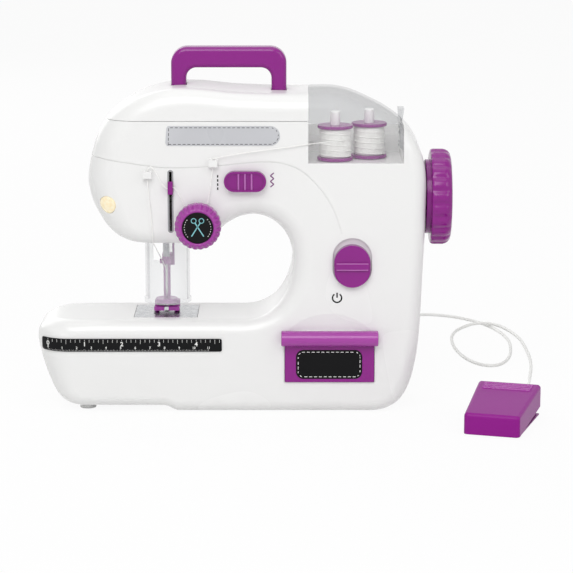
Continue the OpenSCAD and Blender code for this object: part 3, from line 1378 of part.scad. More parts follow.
front_shell();
rear_shell();
top_cover();
handle();
spool_cover();
cover_hinge_pin();
spool_tray();
spool_pins();
left_spool();
left_thread();
right_spool();
right_thread();
thread_run();
thread_guides();
slot_liner();
take_up_lever();
tension_knob();
tension_face();
tension_stud();
selector_knob();
switch_knob();
switch_body();
drawer();
ruler_strip();
lamp_lens();
lamp_led();
needle_bar();
needle_clamp();
needle();
connecting_rod();
presser_bar();
presser_foot();
presser_lifter();
presser_spring();
needle_guard();
needle_plate();
feed_dog();
looper();
lower_frame();
head_frame();
main_shaft();
shaft_bushes();
handwheel();
drive_gear();
crank_disc();
motor();
motor_pinion();
battery_door();
batteries();
battery_contacts();
feet();
case_screws();
jack_socket();
jack_plug();
cord();
pedal_base();
pedal_treadle();
pedal_pin();
pedal_spring();
pedal_gland();
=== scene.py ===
import json
import math
from contextlib import contextmanager

import bmesh
import bpy
from mathutils import Matrix, Vector


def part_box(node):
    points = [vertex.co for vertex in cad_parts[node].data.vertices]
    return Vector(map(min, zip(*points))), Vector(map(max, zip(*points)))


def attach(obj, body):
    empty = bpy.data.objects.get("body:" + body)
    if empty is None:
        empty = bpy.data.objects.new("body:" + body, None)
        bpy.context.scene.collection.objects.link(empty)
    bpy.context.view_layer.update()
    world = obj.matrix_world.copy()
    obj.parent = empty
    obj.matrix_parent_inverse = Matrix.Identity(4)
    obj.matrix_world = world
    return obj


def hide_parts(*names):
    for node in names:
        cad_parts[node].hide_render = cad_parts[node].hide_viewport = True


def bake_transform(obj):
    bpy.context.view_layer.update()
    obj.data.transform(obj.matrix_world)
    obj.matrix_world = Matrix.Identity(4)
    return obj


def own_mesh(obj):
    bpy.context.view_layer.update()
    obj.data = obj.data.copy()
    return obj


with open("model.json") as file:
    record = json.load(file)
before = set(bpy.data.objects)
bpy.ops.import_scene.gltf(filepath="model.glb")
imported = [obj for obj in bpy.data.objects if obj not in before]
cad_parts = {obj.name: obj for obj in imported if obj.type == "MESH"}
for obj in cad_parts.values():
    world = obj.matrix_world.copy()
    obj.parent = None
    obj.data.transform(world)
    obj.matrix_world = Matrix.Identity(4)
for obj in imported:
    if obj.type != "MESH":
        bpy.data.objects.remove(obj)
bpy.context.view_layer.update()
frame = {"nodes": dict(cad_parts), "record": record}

nodes = frame["nodes"]
scene = bpy.context.scene
mm = 0.001
# the body that each frame node rides
bodyOf = {node: body for body, members in frame["record"]["behaviour"]["bodies"].items() for node in members}
print("frame loaded,", len(nodes), "nodes")


def stand(name, data):
    piece = bpy.data.objects.new(name, data)
    scene.collection.objects.link(piece)
    return piece


# camera: same angle and framing as the picture
viewpoint = {"at": (39.602, -1535, 407.686), "tilt": 78, "lens": 141.93, "sensor": 36}
cameraData = bpy.data.cameras.new("camera")
cameraData.lens = viewpoint["lens"]
cameraData.sensor_width = viewpoint["sensor"]
camera = stand("camera", cameraData)
camera.location = [v * mm for v in viewpoint["at"]]
camera.rotation_euler = (math.radians(viewpoint["tilt"]), 0, 0)
scene.camera = camera


# small helpers for colour and shader nodes
def paint(code):
    parts = [int(code[i:i + 2], 16) / 255 for i in (1, 3, 5)]
    return tuple(c / 12.92 if c <= 0.04045 else ((c + 0.055) / 1.055) ** 2.4 for c in parts) + (1,)


def fixSockets(node, values):
    for socket, value in values.items():
        node.inputs[socket].default_value = value


# shader node with fixed values, and sources for its other sockets
def addNode(tree, kind, fixed, sources, operation=None):
    node = tree.nodes.new("ShaderNode" + kind)
    if operation:
        node.operation = operation
    fixSockets(node, fixed)
    for socket, source in sources.items():
        tree.links.new(source, node.inputs[socket])
    return node.outputs


def noiseOf(tree, scale, detail=2, stretch=(1, 1, 1)):
    coord = addNode(tree, "TexCoord", {}, {})["Object"]
    place = addNode(tree, "Mapping", {"Scale": stretch}, {"Vector": coord})["Vector"]
    return addNode(tree, "TexNoise", {"Scale": scale, "Detail": detail}, {"Vector": place})["Fac"]


def newMaterial(name, fixed):
    material = bpy.data.materials.new(name)
    material.use_nodes = True
    tree = material.node_tree
    shader = tree.nodes["Principled BSDF"]
    fixSockets(shader, fixed)
    return material, tree, shader


# two near tones, uneven polish and a fine skin, each over its own noise
def finish(name, colour, shade, fixed, patch, rub=None, polish=None, grain=None, skin=None):
    material, tree, shader = newMaterial(name, fixed)
    ramp = tree.nodes.new("ShaderNodeValToRGB")
    for stop, place, code in zip(ramp.color_ramp.elements, (0.35, 0.65), (shade, colour)):
        stop.position = place
        stop.color = paint(code)
    tree.links.new(noiseOf(tree, *patch), ramp.inputs["Fac"])
    made = {"Base Color": ramp.outputs["Color"]}
    if "Emission Strength" in fixed:
        made["Emission Color"] = ramp.outputs["Color"]
    if rub:
        span = {"From Min": 0.3, "From Max": 0.7, "To Min": polish[0], "To Max": polish[1]}
        made["Roughness"] = addNode(tree, "MapRange", span, {"Value": noiseOf(tree, *rub)})["Result"]
    if grain:
        fine = {"Strength": 0.3, "Distance": skin}
        made["Normal"] = addNode(tree, "Bump", fine, {"Height": noiseOf(tree, *grain)})["Normal"]
    for socket, source in made.items():
        tree.links.new(source, shader.inputs[socket])
    return material


# faint mottling and the fine skin that a mould leaves
def mouldedPlastic(name, colour, shade, polish=(0.4, 0.55), skin=0.00001, gloss=0.5,
                   patch=(8, 1), rub=(14, 1)):
    fixed = {"Specular IOR Level": gloss, "IOR": 1.5}
    return finish(name, colour, shade, fixed, patch, rub, polish, (700,), skin)


def clearPlastic(name, colour, shade, seeThrough):
    fixed = {"Alpha": seeThrough, "IOR": 1.49}
    return finish(name, colour, shade, fixed, (16, 3), (80, 4), (0.06, 0.16), (120,), 0.00003)


def turnedMetal(name, colour, shade, polish, stretch):
    patch, rub, grain = [(scale, detail, stretch) for scale, detail in ((300, 4), (500, 4), (900, 3))]
    return finish(name, colour, shade, {"Metallic": 1}, patch, rub, polish, grain, 0.00002)


def spunThread(name, colour, shade):
    fixed = {"Roughness": 0.75, "Sheen Weight": 0.35, "Sheen Roughness": 0.4}
    return finish(name, colour, shade, fixed, (900, 3, (1, 1, 3)), grain=(2600, 3), skin=0.00005)


def glowing(name, colour, shade, strength):
    return finish(name, colour, shade, {"Emission Strength": strength, "Roughness": 0.25}, (400,))


whiteCase = mouldedPlastic("whiteCase", "#EEEEED", "#EDEDEC", (0.24, 0.28), 0.000002,
                           patch=(6, 0), rub=(9, 0))
purpleShell = mouldedPlastic("purpleShell", "#8C0F86", "#840B7E", (0.14, 0.2), gloss=0.42)
purplePedal = mouldedPlastic("purplePedal", "#8F1289", "#870E81", (0.3, 0.38), gloss=0.2)
# lighter purple that paints highlights on the selector ridges and the switch's bar lines
purpleHighlightPaint = mouldedPlastic("purpleHighlightPaint", "#BF73BC", "#B567B2", (0.25, 0.35), gloss=0.4)
purpleSoft = mouldedPlastic("purpleSoft", "#A63CA1", "#9C3297", (0.15, 0.22))
clearCover = clearPlastic("clearCover", "#EEF0F1", "#E6E8EA", 0.07)
# denser grey clear plastic: painted shade on the cover's back wall and a painted light band on its tab
paintedShadeAndEdgeCover = clearPlastic("paintedShadeAndEdgeCover", "#A9ACAF", "#9FA2A5", 0.3)
clearGuard = clearPlastic("clearGuard", "#EDEFF0", "#E2E4E6", 0.26)
steelBright = turnedMetal("steelBright", "#C9CACC", "#AEB0B3", (0.2, 0.36), (1, 1, 0.06))
brassWarm = turnedMetal("brassWarm", "#D9B765", "#BF9A4A", (0.22, 0.38), (0.06, 1, 1))
blackSatin = mouldedPlastic("blackSatin", "#08080A", "#0F0F11", gloss=0.14)
slotGrey = mouldedPlastic("slotGrey", "#A4A5A7", "#98999B")
nylonGear = mouldedPlastic("nylonGear", "#E9E6DA", "#DEDACB", (0.45, 0.6))
threadWhite = spunThread("threadWhite", "#FEFEFC", "#F2F1EE")
lampGlow = glowing("lampGlow", "#FFE7A6", "#FFD98A", 1.6)
lampWindow = glowing("lampWindow", "#EFE4C8", "#E8D9B2", 0.26)
cellWrap = mouldedPlastic("cellWrap", "#2A2C30", "#202226", (0.3, 0.45))
cordSkin = mouldedPlastic("cordSkin", "#F2F2F0", "#EAEAE8", (0.35, 0.5))
labelSilver = mouldedPlastic("labelSilver", "#D5D6D9", "#C2C3C7", (0.25, 0.4), 0.00006)
inkBlack = mouldedPlastic("inkBlack", "#0C0C0E", "#141416", gloss=0.15)
inkWhite = mouldedPlastic("inkWhite", "#F3F3F1", "#E9E9E6")
inkPurple = mouldedPlastic("inkPurple", "#7A1F78", "#6E1A6D")
inkTeal = mouldedPlastic("inkTeal", "#8FD0D6", "#7DBFC6")

nodeFinish = {
    whiteCase: "front_shell rear_shell top_cover spool_tray spool_pins thread_guides battery_door feet "
               "switch_body",
    purpleShell: "handle tension_knob selector_knob switch_knob take_up_lever drawer presser_lifter handwheel "
                 "left_spool right_spool",
    purplePedal: "pedal_base pedal_treadle",
    purpleSoft: "needle_clamp presser_foot",
    paintedShadeAndEdgeCover: "spool_cover",
    clearGuard: "needle_guard",
    lampWindow: "lamp_lens",
    steelBright: "cover_hinge_pin needle_bar needle connecting_rod presser_bar presser_spring needle_plate "
                 "feed_dog looper lower_frame head_frame main_shaft crank_disc motor battery_contacts "
                 "case_screws tension_stud pedal_pin pedal_spring",
    brassWarm: "shaft_bushes motor_pinion",
    blackSatin: "tension_face ruler_strip jack_socket pedal_gland",
    slotGrey: "slot_liner",
    nylonGear: "drive_gear",
    threadWhite: "left_thread right_thread thread_run",
    lampGlow: "lamp_led",
    cellWrap: "batteries",
    cordSkin: "cord jack_plug",
}
for material, names in nodeFinish.items():
    for name in names.split():
        for slot in nodes[name].material_slots:
            slot.material = material
print("materials on the frame")


# spot on a smooth line from a to b, with its headings at both ends
def between(a, b, leave, arrive, t):
    reach = (b - a).length
    return (a * (1 + 2 * t) * (1 - t) ** 2 + b * t * t * (3 - 2 * t)
            + leave * reach * t * (1 - t) ** 2 - arrive * reach * t * t * (1 - t))


# heading at a spot of a line, from its neighbours
def headingAt(spots, i):
    return (spots[min(i + 1, len(spots) - 1)] - spots[max(i - 1, 0)]).normalized()


def smoothLine(points, steps):
    spots = [Vector(p) for p in points]
    way = [headingAt(spots, i) for i in range(len(spots))]
    line = [between(spots[i], spots[i + 1], way[i], way[i + 1], j / steps)
            for i in range(len(spots) - 1) for j in range(steps)]
    return line + spots[-1:]


def lineCurve(name, line, radius, sides):
    curve = bpy.data.curves.new(name, "CURVE")
    curve.dimensions = "3D"
    spline = curve.splines.new("POLY")
    spline.points.add(len(line) - 1)
    for point, p in zip(spline.points, line):
        point.co = (p[0] * mm, p[1] * mm, p[2] * mm, 1)
    curve.bevel_depth = radius * mm
    curve.bevel_resolution = sides
    curve.use_fill_caps = True
    return stand(name, curve)


# mesh of a piece with its curve or modifiers worked out
def finalMesh(piece):
    bpy.context.view_layer.update()
    return bpy.data.meshes.new_from_object(piece.evaluated_get(bpy.context.evaluated_depsgraph_get()))


def strand(name, line, radius, material, node, sides):
    piece = lineCurve(name, line, radius, sides)
    piece.data.materials.append(material)
    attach(piece, bodyOf[node])
    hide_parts(node)
    return piece


# the same as a mesh, for the thread runs and the springs
def strandMesh(name, line, radius, material):
    guide = lineCurve("guide", line, radius, 2)
    mesh = finalMesh(guide)
    bpy.data.objects.remove(guide)
    mesh.materials.clear()
    mesh.materials.append(material)
    for face in mesh.polygons:
        face.use_smooth = True
    piece = stand(name, mesh)
    return piece


# pedal cord
pedalCord = {
    "diameter": 2.4, "steps": 6, "sides": 4,
    "route": [(112, 62, 48), (112, 72, 48), (112, 92, 43), (112, 111, 30), (113, 128, 15), (115, 145, 4.5),
              (117, 165, 1.2), (121, 200, 1.2), (130, 242, 1.2), (147, 266, 1.2), (170, 262, 1.2), (191, 243, 1.2),
              (205, 215, 1.2), (212, 180, 1.2), (211, 145, 1.2), (205, 112, 1.2), (194, 95, 1.2), (182, 101, 1.2),
              (172, 128, 1.2), (168, 170, 1.2), (172, 202, 1.3), (182, 220, 2.2), (194, 226, 3.4), (206, 217, 4.1),
              (215, 200, 3.3), (221, 178, 2), (223, 142, 1.2), (222, 103, 1.2), (217, 62, 1.2), (211, 25, 1.2),
              (205, -4, 2), (201, -19, 2.8), (198.5, -27.9, 3)],
}
cordRadius = pedalCord["diameter"] / 2
cordLine = [Vector((p.x, p.y, max(p.z, cordRadius))) for p in smoothLine(pedalCord["route"], pedalCord["steps"])]
cord = strand("pedalCord", cordLine, cordRadius, cordSkin, "cord", pedalCord["sides"])


# mesh helpers, all in millimetres
@contextmanager
def opened(mesh, source=None):
    work = bmesh.new()
    work.from_mesh(source or mesh)
    yield work
    work.to_mesh(mesh)
    work.free()


def looseMesh(name, verts, faces):
    mesh = bpy.data.meshes.new(name)
    mesh.from_pydata([(p[0] * mm, p[1] * mm, p[2] * mm) for p in verts], [], faces)
    mesh.validate()
    with opened(mesh) as work:
        bmesh.ops.recalc_face_normals(work, faces=work.faces)
    return stand(name, mesh)


# finish and shading of a piece that stands for a frame node, or only sits on it
def dress(piece, material, node, replaces=True, angle=32):
    piece.data.materials.clear()
    piece.data.materials.append(material)
    with opened(piece.data) as work:
        for face in work.faces:
            face.smooth = True
            face.material_index = 0
        for edge in work.edges:
            edge.smooth = len(edge.link_faces) == 2 and edge.calc_face_angle(0) < math.radians(angle)
    piece.modifiers.new("evenNormals", "WEIGHTED_NORMAL").keep_sharp = True
    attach(piece, bodyOf[node])
    if replaces:
        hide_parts(node)
    return piece


# turns a mesh, the last turn first, and moves it into place
def settle(mesh, at, *turns):
    matrix = Matrix.Translation([v * mm for v in at])
    for axis, angle in turns:
        matrix = matrix @ Matrix.Rotation(math.radians(angle), 4, axis)
    mesh.transform(matrix)


# another finish on the faces that a test picks by their middle
def secondFinish(piece, material, picks):
    piece.data.materials.append(material)
    for face in piece.data.polygons:
        if picks(face.center / mm):
            face.material_index = len(piece.data.materials) - 1


# flat spot and level as a point; the level runs along the axis
def placed(axis, a, b, level):
    return {"x": (level, a, b), "y": (a, level, b), "z": (a, b, level)}[axis]


def prism(name, axis, low, high, outline):
    count = len(outline)
    verts = [placed(axis, a, b, level) for level in (low, high) for a, b in outline]
    faces = [tuple(range(count)), tuple(range(2 * count - 1, count - 1, -1))]
    faces += [(i, (i + 1) % count, count + (i + 1) % count, count + i) for i in range(count)]
    return looseMesh(name, verts, faces)


def block(name, low, high):
    (x0, y0, z0), (x1, y1, z1) = low, high
    return prism(name, "z", z0, z1, [(x0, y0), (x1, y0), (x1, y1), (x0, y1)])


# block through a front or back face, from its middle and size
def faceBlock(name, x, z, wide, tall, low, high):
    return block(name, (x - wide / 2, low, z - tall / 2), (x + wide / 2, high, z + tall / 2))


# closed skins, each from rings of points with a flat cap at both ends
def ringMesh(name, *skins):
    verts, faces = [], []
    for rings in skins:
        count = len(rings[0])
        starts = [len(verts) + k * count for k in range(len(rings))]
        verts += [p for ring in rings for p in ring]
        faces += [(a + i, a + (i + 1) % count, b + (i + 1) % count, b + i)
                  for a, b in zip(starts, starts[1:]) for i in range(count)]
        faces += [tuple(range(a, a + count)) for a in (starts[0], starts[-1])]
    return looseMesh(name, verts, faces)


def rimSpot(x, y, r, turn):
    return x + r * math.cos(turn), y + r * math.sin(turn)


def circleLine(x, y, r, count=48):
    return [rimSpot(x, y, r, 2 * math.pi * i / count) for i in range(count)]


def arcLine(x, y, r, start, end, count=24):
    return [rimSpot(x, y, r, math.radians(start + (end - start) * i / count)) for i in range(count + 1)]


def roundedLine(x0, y0, x1, y1, r, count=8):
    corners = ((x1 - r, y1 - r, 0), (x0 + r, y1 - r, 90), (x0 + r, y0 + r, 180), (x1 - r, y0 + r, 270))
    return [p for x, y, start in corners for p in arcLine(x, y, r, start, start + 90, count)]


def slotLine(x, y, w, h, count=16):
    r = min(w, h) / 2 - 0.001
    return roundedLine(x - w / 2, y - h / 2, x + w / 2, y + h / 2, r, count)


# outline of a band along a flat line
def bandLine(line, wide):
    spots = [Vector(p) for p in line]
    upper, lower = [], []
    for i, p in enumerate(line):
        way = headingAt(spots, i)
        upper.append((p[0] - way.y * wide / 2, p[1] + way.x * wide / 2))
        lower.append((p[0] + way.y * wide / 2, p[1] - way.x * wide / 2))
    return upper + lower[::-1]


# turned form; each row is radius, place along the axis and, where they bite, the depth of the flutes
def lathe(name, axis, centre, rows, count=64, flutes=0):
    rings = []
    for radius, along, *bite in rows:
        ring = []
        for i in range(count):
            turn = 2 * math.pi * i / count
            r = radius - sum(bite) * (0.5 + 0.5 * math.cos(flutes * turn)) ** 2
            ring.append(placed(axis, *rimSpot(*centre, r, turn), along))
        rings.append(ring)
    return ringMesh(name, rings)


def bevelSharp(work, width, steps, angle, keep=None):
    edges = [e for e in work.edges if len(e.link_faces) == 2 and e.calc_face_angle(0) > math.radians(angle)
             and (keep is None or keep((e.verts[0].co + e.verts[1].co) / (2 * mm)))]
    bmesh.ops.bevel(work, geom=edges, offset=width * mm, segments=steps, profile=0.5, affect="EDGES",
                    clamp_overlap=True)


def soften(piece, width, steps=3, angle=30, keep=None):
    with opened(piece.data) as work:
        bevelSharp(work, width, steps, angle, keep)
    return piece


def merge(name, parts):
    mesh = bpy.data.meshes.new(name)
    with opened(mesh) as work:
        for part in parts:
            work.from_mesh(part.data)
            bpy.data.objects.remove(part)
    return stand(name, mesh)


def carve(piece, cutters, how="DIFFERENCE"):
    for cutter in cutters:
        cut = piece.modifiers.new("cut", "BOOLEAN")
        cut.operation = how
        cut.solver = "EXACT"
        cut.object = cutter
    made = finalMesh(piece)
    piece.modifiers.clear()
    piece.data = made
    for cutter in cutters:
        bpy.data.objects.remove(cutter)
    return piece


# the body's outline: across, height in its zone, then how far the round edge runs in
bodyForm = {
    "halfWide": 134, "halfDeep": 35, "tall": 223, "edge": 10, "wall": 2.2, "steps": 7, "rounds": 9,
    "zones": {"outerHead": (117, 223), "outerBase": (0, 64), "innerHead": (117, 223), "innerArm": (64, 117)},
    "outerHead": [(-0.709, 0.434, 2, 0), (-0.683, 0.604, 1.9, -0.5), (-0.634, 0.755, 1.6, -0.9),
                  (-0.549, 0.868, 1.1, -1.1), (-0.433, 0.948, 0.5, -1.2), (-0.299, 0.993, 0.1, -1.2),
                  (-0.149, 0.997, 0, -1.2), (0.037, 0.975, 0, -1.2), (0.336, 0.964, 0, -1.2),
                  (0.507, 0.968, 0, -1.2), (0.604, 0.949, -0.3, -1.2), (0.709, 0.895, -0.5, -1.1),
                  (0.813, 0.825, -0.6, -1), (0.903, 0.736, -0.8, -0.8), (0.966, 0.613, -1, -0.4),
                  (0.997, 0.462, -1, 0), (1, 0.217, -1, 0)],
    "outerBase": [(0.989, 1.56, -1, 0), (0.974, 0.875, -1, 0), (0.955, 0.547, -1, 0.1),
                  (0.914, 0.242, -1, 0.3), (0.843, 0.063, -0.6, 0.8), (0.724, 0, 0, 0.9),
                  (-0.254, 0, 0, 0.9), (-0.336, 0.06, 0, 0.8), (-0.746, 0.06, 0.3, 0.8),
                  (-0.847, 0.11, 1.1, 0.7), (-0.91, 0.28, 1.6, 0.3), (-0.974, 0.66, 2.2, 0)],
    "innerHead": [(-0.706, 0.358, 2, 0.1), (-0.687, 0.264, 2, 0.4), (-0.653, 0.179, 1.8, 0.8),
                  (-0.608, 0.099, 1.4, 1), (-0.549, 0.041, 0.9, 1.1), (-0.47, 0.008, 0.3, 1.1),
                  (-0.358, 0, 0, 1.1), (-0.239, 0, 0, 1.1), (-0.142, 0.017, -0.3, 1.1),
                  (-0.067, 0.066, -0.6, 1.1), (0, 0.132, -0.6, 1.2), (0.067, 0.175, -0.3, 1.3),
                  (0.142, 0.187, 0.1, 1.3), (0.216, 0.158, 0.5, 1.2), (0.28, 0.088, 0.9, 1)],
    "innerArm": [(0.317, 0.99, 1.2, 0.6), (0.328, 0.79, 1.3, 0.1), (0.319, 0.566, 1.3, -0.2),
                 (0.287, 0.34, 1.1, -0.6), (0.235, 0.16, 0.9, -0.8), (0.164, 0.043, 0.4, -0.9),
                 (0.075, 0, 0, -0.9), (-0.149, 0, 0, -0.9), (-0.373, 0, 0, -0.9),
                 (-0.522, 0, 0, -0.9), (-0.709, 0, 0.2, -0.9), (-0.828, 0, 0.8, -0.9),
                 (-0.918, -0.034, 1.7, -0.9), (-0.978, -0.15, 2.2, -0.6)],
}


def bodySpot(zone, across, share):
    low, high = bodyForm["zones"][zone]
    return Vector((across * bodyForm["halfWide"], low + share * (high - low)))


def bodyLoop(steps):
    def keys(zone):
        return [(bodySpot(zone, *row[:2]), Vector([v * bodyForm["edge"] for v in row[2:]])) for row in bodyForm[zone]]
    inner = keys("innerHead") + keys("innerArm")
    spot, inset = zip(*keys("outerHead"), *keys("outerBase"), *inner[::-1])
    count = len(spot)
    heading = []
    for i in range(count):
        before, after = spot[i] - spot[i - 1], spot[(i + 1) % count] - spot[i]
        heading.append((before if before.y == 0 else after if after.y == 0 else before + after).normalized())
    loop = []
    for i in range(count):
        k = (i + 1) % count
        for j in range(steps):
            t = j / steps
            place = between(spot[i], spot[k], heading[i], heading[k], t)
            loop.append((place, inset[i] * (1 - t) + inset[k] * t))
    return loop


bodyOutline = bodyLoop(bodyForm["steps"])


def skinRing(depth, turn):
    ring = []
    c, s = math.cos(math.radians(turn)), math.sin(math.radians(turn))
    for place, inset in bodyOutline:
        around = inset.length
        start = inset / around * depth
        at = place + start + (inset - start) * (1 - c)
        ring.append((at.x, -(bodyForm["halfDeep"] - depth - (around - depth) * (1 - s)), at.y))
    return ring


# closed skin between two depths: the front half, the back half, or both in one
def bodySkin(name, outside, inside, half):
    rounds = bodyForm["rounds"]
    def side(depth, sign):
        return [[(x, sign * y, z) for x, y, z in skinRing(depth, 90 * i / rounds)] for i in range(rounds + 1)]
    if half == "both":
        piece = ringMesh(name, *[side(depth, 1)[::-1] + side(depth, -1) for depth in (outside, inside)])
        with opened(piece.data) as work:  # the inner skin faces the hollow
            work.faces.ensure_lookup_table()
            bmesh.ops.reverse_faces(work, faces=work.faces[len(work.faces) // 2:])
        return piece
    sign = 1 if half == "front" else -1
    out, into = side(outside, sign), side(inside, sign)
    middle = [[(x, 0, z) for x, y, z in ring] for ring in (out[0], into[0])]
    return ringMesh(name, out[::-1] + middle + into)


# case halves with the openings that the source cuts; "past" lies well outside the body
caseCuts = {
    "past": (300, 80, 400), "faceCut": (-40, -28), "backCut": (28, 40), "seamZ": 201.482, "seam": 0.3,
    "bay": (54.538, 118.456), "bayFrontZ": 173.18, "bayRearZ": 183.992,
    "needleX": -43.55, "headHole": 13, "headCut": (112, 122), "headShift": 5, "step": 0.01,
    "plate": (44, 39.998), "plateCut": (58, 70), "door": (64, 46), "doorCut": (-5, 5),
    "shaft": (0, 144.984, 6.02), "shaftCut": (120, 140), "dial": (-19.832, 131.84, 2.52),
    "takeUp": (-38.458, 147.316, 4, 43.036), "selector": (11.792, 161.52, 14.6, 4.6),
    "switch": (84.152, 105.22, 26.6, 34), "drawer": (69.01, 35.08, 61.6, 26.6),
    "jack": (112.024, 48, 4.02), "lifter": (-28.55, 135, 2.25), "screwHole": 3.1,
    "screws": [(-0.46, 0.82), (0.13, 0.85), (0.9, 0.7), (0.86, 0.3), (0.8, 0.1), (-0.68, 0.12)],
}
jointForm = {"wide": 0.6, "deep": 0.5, "proud": 0.6, "steps": 6, "reach": (-60, -5),
             "line": [(-0.72, 0.575), (-0.66, 0.563), (-0.58, 0.548), (-0.36, 0.508), (-0.26, 0.502), (-0.07, 0.514),
                      (0.09, 0.534), (0.21, 0.54), (0.29, 0.527), (0.363, 0.489), (0.434, 0.412), (0.489, 0.328),
                      (0.54, 0.212), (0.575, 0.08)]}
lampForm = {"at": (-81.204, -31.5, 144.56), "turn": -35, "tip": 18, "r": 6.3, "cut": (-9, 5)}
scoopForm = {"at": (69.01, 29.4), "count": 96, "below": ((20, -40, -20), (120, -30, 57.5)),
             "rows": [(0.5, -33.7), (28, -33.75), (33, -33.95), (37, -34.35), (40.3, -34.95),
                      (40.8, -35.05), (40.8, -37), (0.5, -37)]}
hingeForm = {"at": (33.9, 187.392), "r": 2.4, "pin": 1.15, "pinCut": (50, 125), "lug": (65.838, 106.856),
             "lugFoot": ((65.848, 32.81, 182.99), (106.846, 34.99, 187.392)),
             "sillDeep": (32.81, 34.98), "sillLow": 183,
             "sills": [(54.4, 65.86, 184.7), (106.84, 118.4, 184.72), (54.42, 56.2, 190.4), (116.5, 118.38, 190.42)],
             "screen": (54.9, 118.1), "screenLine": [(30.4, 190.6), (31.2, 190.6), (31.2, 182.9), (33, 182.9),
                                                     (33, 181.5), (30.4, 181.5)]}


# openings that run through both halves
def sharedCuts():
    c = caseCuts
    x, (w, d), (dw, dd), step = c["needleX"], c["plate"], c["door"], c["step"]
    (headLow, headHigh), (plateLow, plateHigh), (doorLow, doorHigh) = c["headCut"], c["plateCut"], c["doorCut"]
    farX, farY, farZ = c["past"]
    return [
        block("cutTop", (-farX, -farY, c["seamZ"]), (c["bay"][0], farY, farZ)),
        prism("cutHeadA", "z", headLow, headHigh, circleLine(x, 0, c["headHole"])),
        prism("cutHeadB", "z", headLow + step, headHigh + step, circleLine(x, c["headShift"], c["headHole"])),
        block("cutPlate", (x - w / 2, -d / 2, plateLow), (x + w / 2, d / 2, plateHigh)),
        block("cutDoor", (-dw / 2, -dd / 2, doorLow), (dw / 2, dd / 2, doorHigh)),
        prism("cutShaft", "x", *c["shaftCut"], circleLine(*c["shaft"])),
    ]


# the curved joint line runs in the skin itself, also over the round end of the head
def jointLine():
    j = jointForm
    line = smoothLine([bodySpot("outerHead", x, z) for x, z in j["line"]], j["steps"])
    band = prism("lineBand", "y", *j["reach"], bandLine(line, j["wide"]))
    return carve(bodySkin("lineSkin", -j["proud"], j["deep"], "front"), [band], "INTERSECT")


def lampCut():
    f = lampForm
    cutter = prism("cutLamp", "y", *f["cut"], circleLine(0, 0, f["r"]))
    settle(cutter.data, f["at"], ("Z", f["turn"]), ("X", f["tip"]))
    return cutter


# shallow dish above the drawer's lip
def fingerScoop():
    s = scoopForm
    return carve(lathe("scoop", "y", s["at"], s["rows"], s["count"]), [block("below", *s["below"])])


def buildCase():
    c, h, wall = caseCuts, hingeForm, bodyForm["wall"]
    farY, farZ = c["past"][1:]
    bayLeft, bayRight = c["bay"][0] - c["seam"], c["bay"][1]
    face = c["faceCut"]
    front = bodySkin("caseFront", 0, wall, "front")
    carve(front, sharedCuts() + [
        block("cutBay", (bayLeft, -farY, c["bayFrontZ"]), (bayRight, 1, farZ)),
        prism("cutDial", "y", *face, circleLine(*c["dial"], 24)),
        prism("cutTakeUp", "y", *face, slotLine(*c["takeUp"])),
        faceBlock("cutSelector", *c["selector"], *face),
        prism("cutSwitch", "y", *face, slotLine(*c["switch"])),
        faceBlock("cutDrawer", *c["drawer"], *face),
        lampCut(), jointLine(), fingerScoop()])
    dress(front, whiteCase, "front_shell")

    def backHole(x, z, r, count=32):
        return prism("cutHole", "y", *c["backCut"], circleLine(x, z, r, count))
    back = bodySkin("caseBack", 0, wall, "back")
    screws = [backHole(x * bodyForm["halfWide"], z * bodyForm["tall"], c["screwHole"]) for x, z in c["screws"]]
    carve(back, sharedCuts() + screws + [
        block("cutBay", (bayLeft, -1, c["bayRearZ"]), (bayRight, farY, farZ)),
        backHole(*c["jack"]), backHole(*c["lifter"], 24)])
    low, high = h["sillDeep"]
    added = [block("lugFoot", *h["lugFoot"]), prism("lugBar", "x", *h["lug"], circleLine(*h["at"], h["r"], 32))]
    added += [block("sill", (x0, low, h["sillLow"]), (x1, high, z)) for x0, x1, z in h["sills"]]
    added += [prism("screen", "x", *h["screen"], h["screenLine"])]  # low wall before the hinge
    for part in added:
        carve(back, [part], "UNION")
    dress(back, whiteCase, "rear_shell")


buildCase()
print("case halves")

# top cover, with room for the handle's legs
topForm = {"middle": 0.402, "half": 39.2, "leg": 10.6, "gap": 0.3, "deep": 7.8, "z": (190, 260)}


def buildTopCover():
    c, t = caseCuts, topForm
    farX, farY, farZ = c["past"]
    top = bodySkin("topCover", 0, bodyForm["wall"], "both")
    keep = block("keepTop", (-farX, -farY, c["seamZ"] + c["seam"]), (c["bay"][0] - c["seam"], farY, farZ))
    carve(top, [keep], "INTERSECT")
    low, high = t["z"]
    legs = [(t["middle"] - t["half"], t["gap"], t["leg"]), (t["middle"] + t["half"], t["leg"], t["gap"])]
    carve(top, [block("cutLeg", (x - left, -t["deep"], low), (x + right, t["deep"], high))
                for x, left, right in legs])
    dress(top, whiteCase, "top_cover")


buildTopCover()
print("top cover")

# clear cover over the spools
spoolCover = {"wall": 1.6, "frontZ": 173.48, "rearZ": 190.792, "split": 5, "right": 118.156,
              "notch": ((53.538, -80, 184.48), (58.538, -32, 188.48)),
              "knuckles": (56.538, 107.156), "knuckleWide": 9, "ear": (33.41, 34.99), "earTop": 1,
              "paintedShadeFrom": 10, "tab": [(116.7, 193.5), (118, 193.5), (119.8, 206.6), (115.4, 206.6)],
              "tabDeep": 6, "paintedEdgeFrom": 115.3}


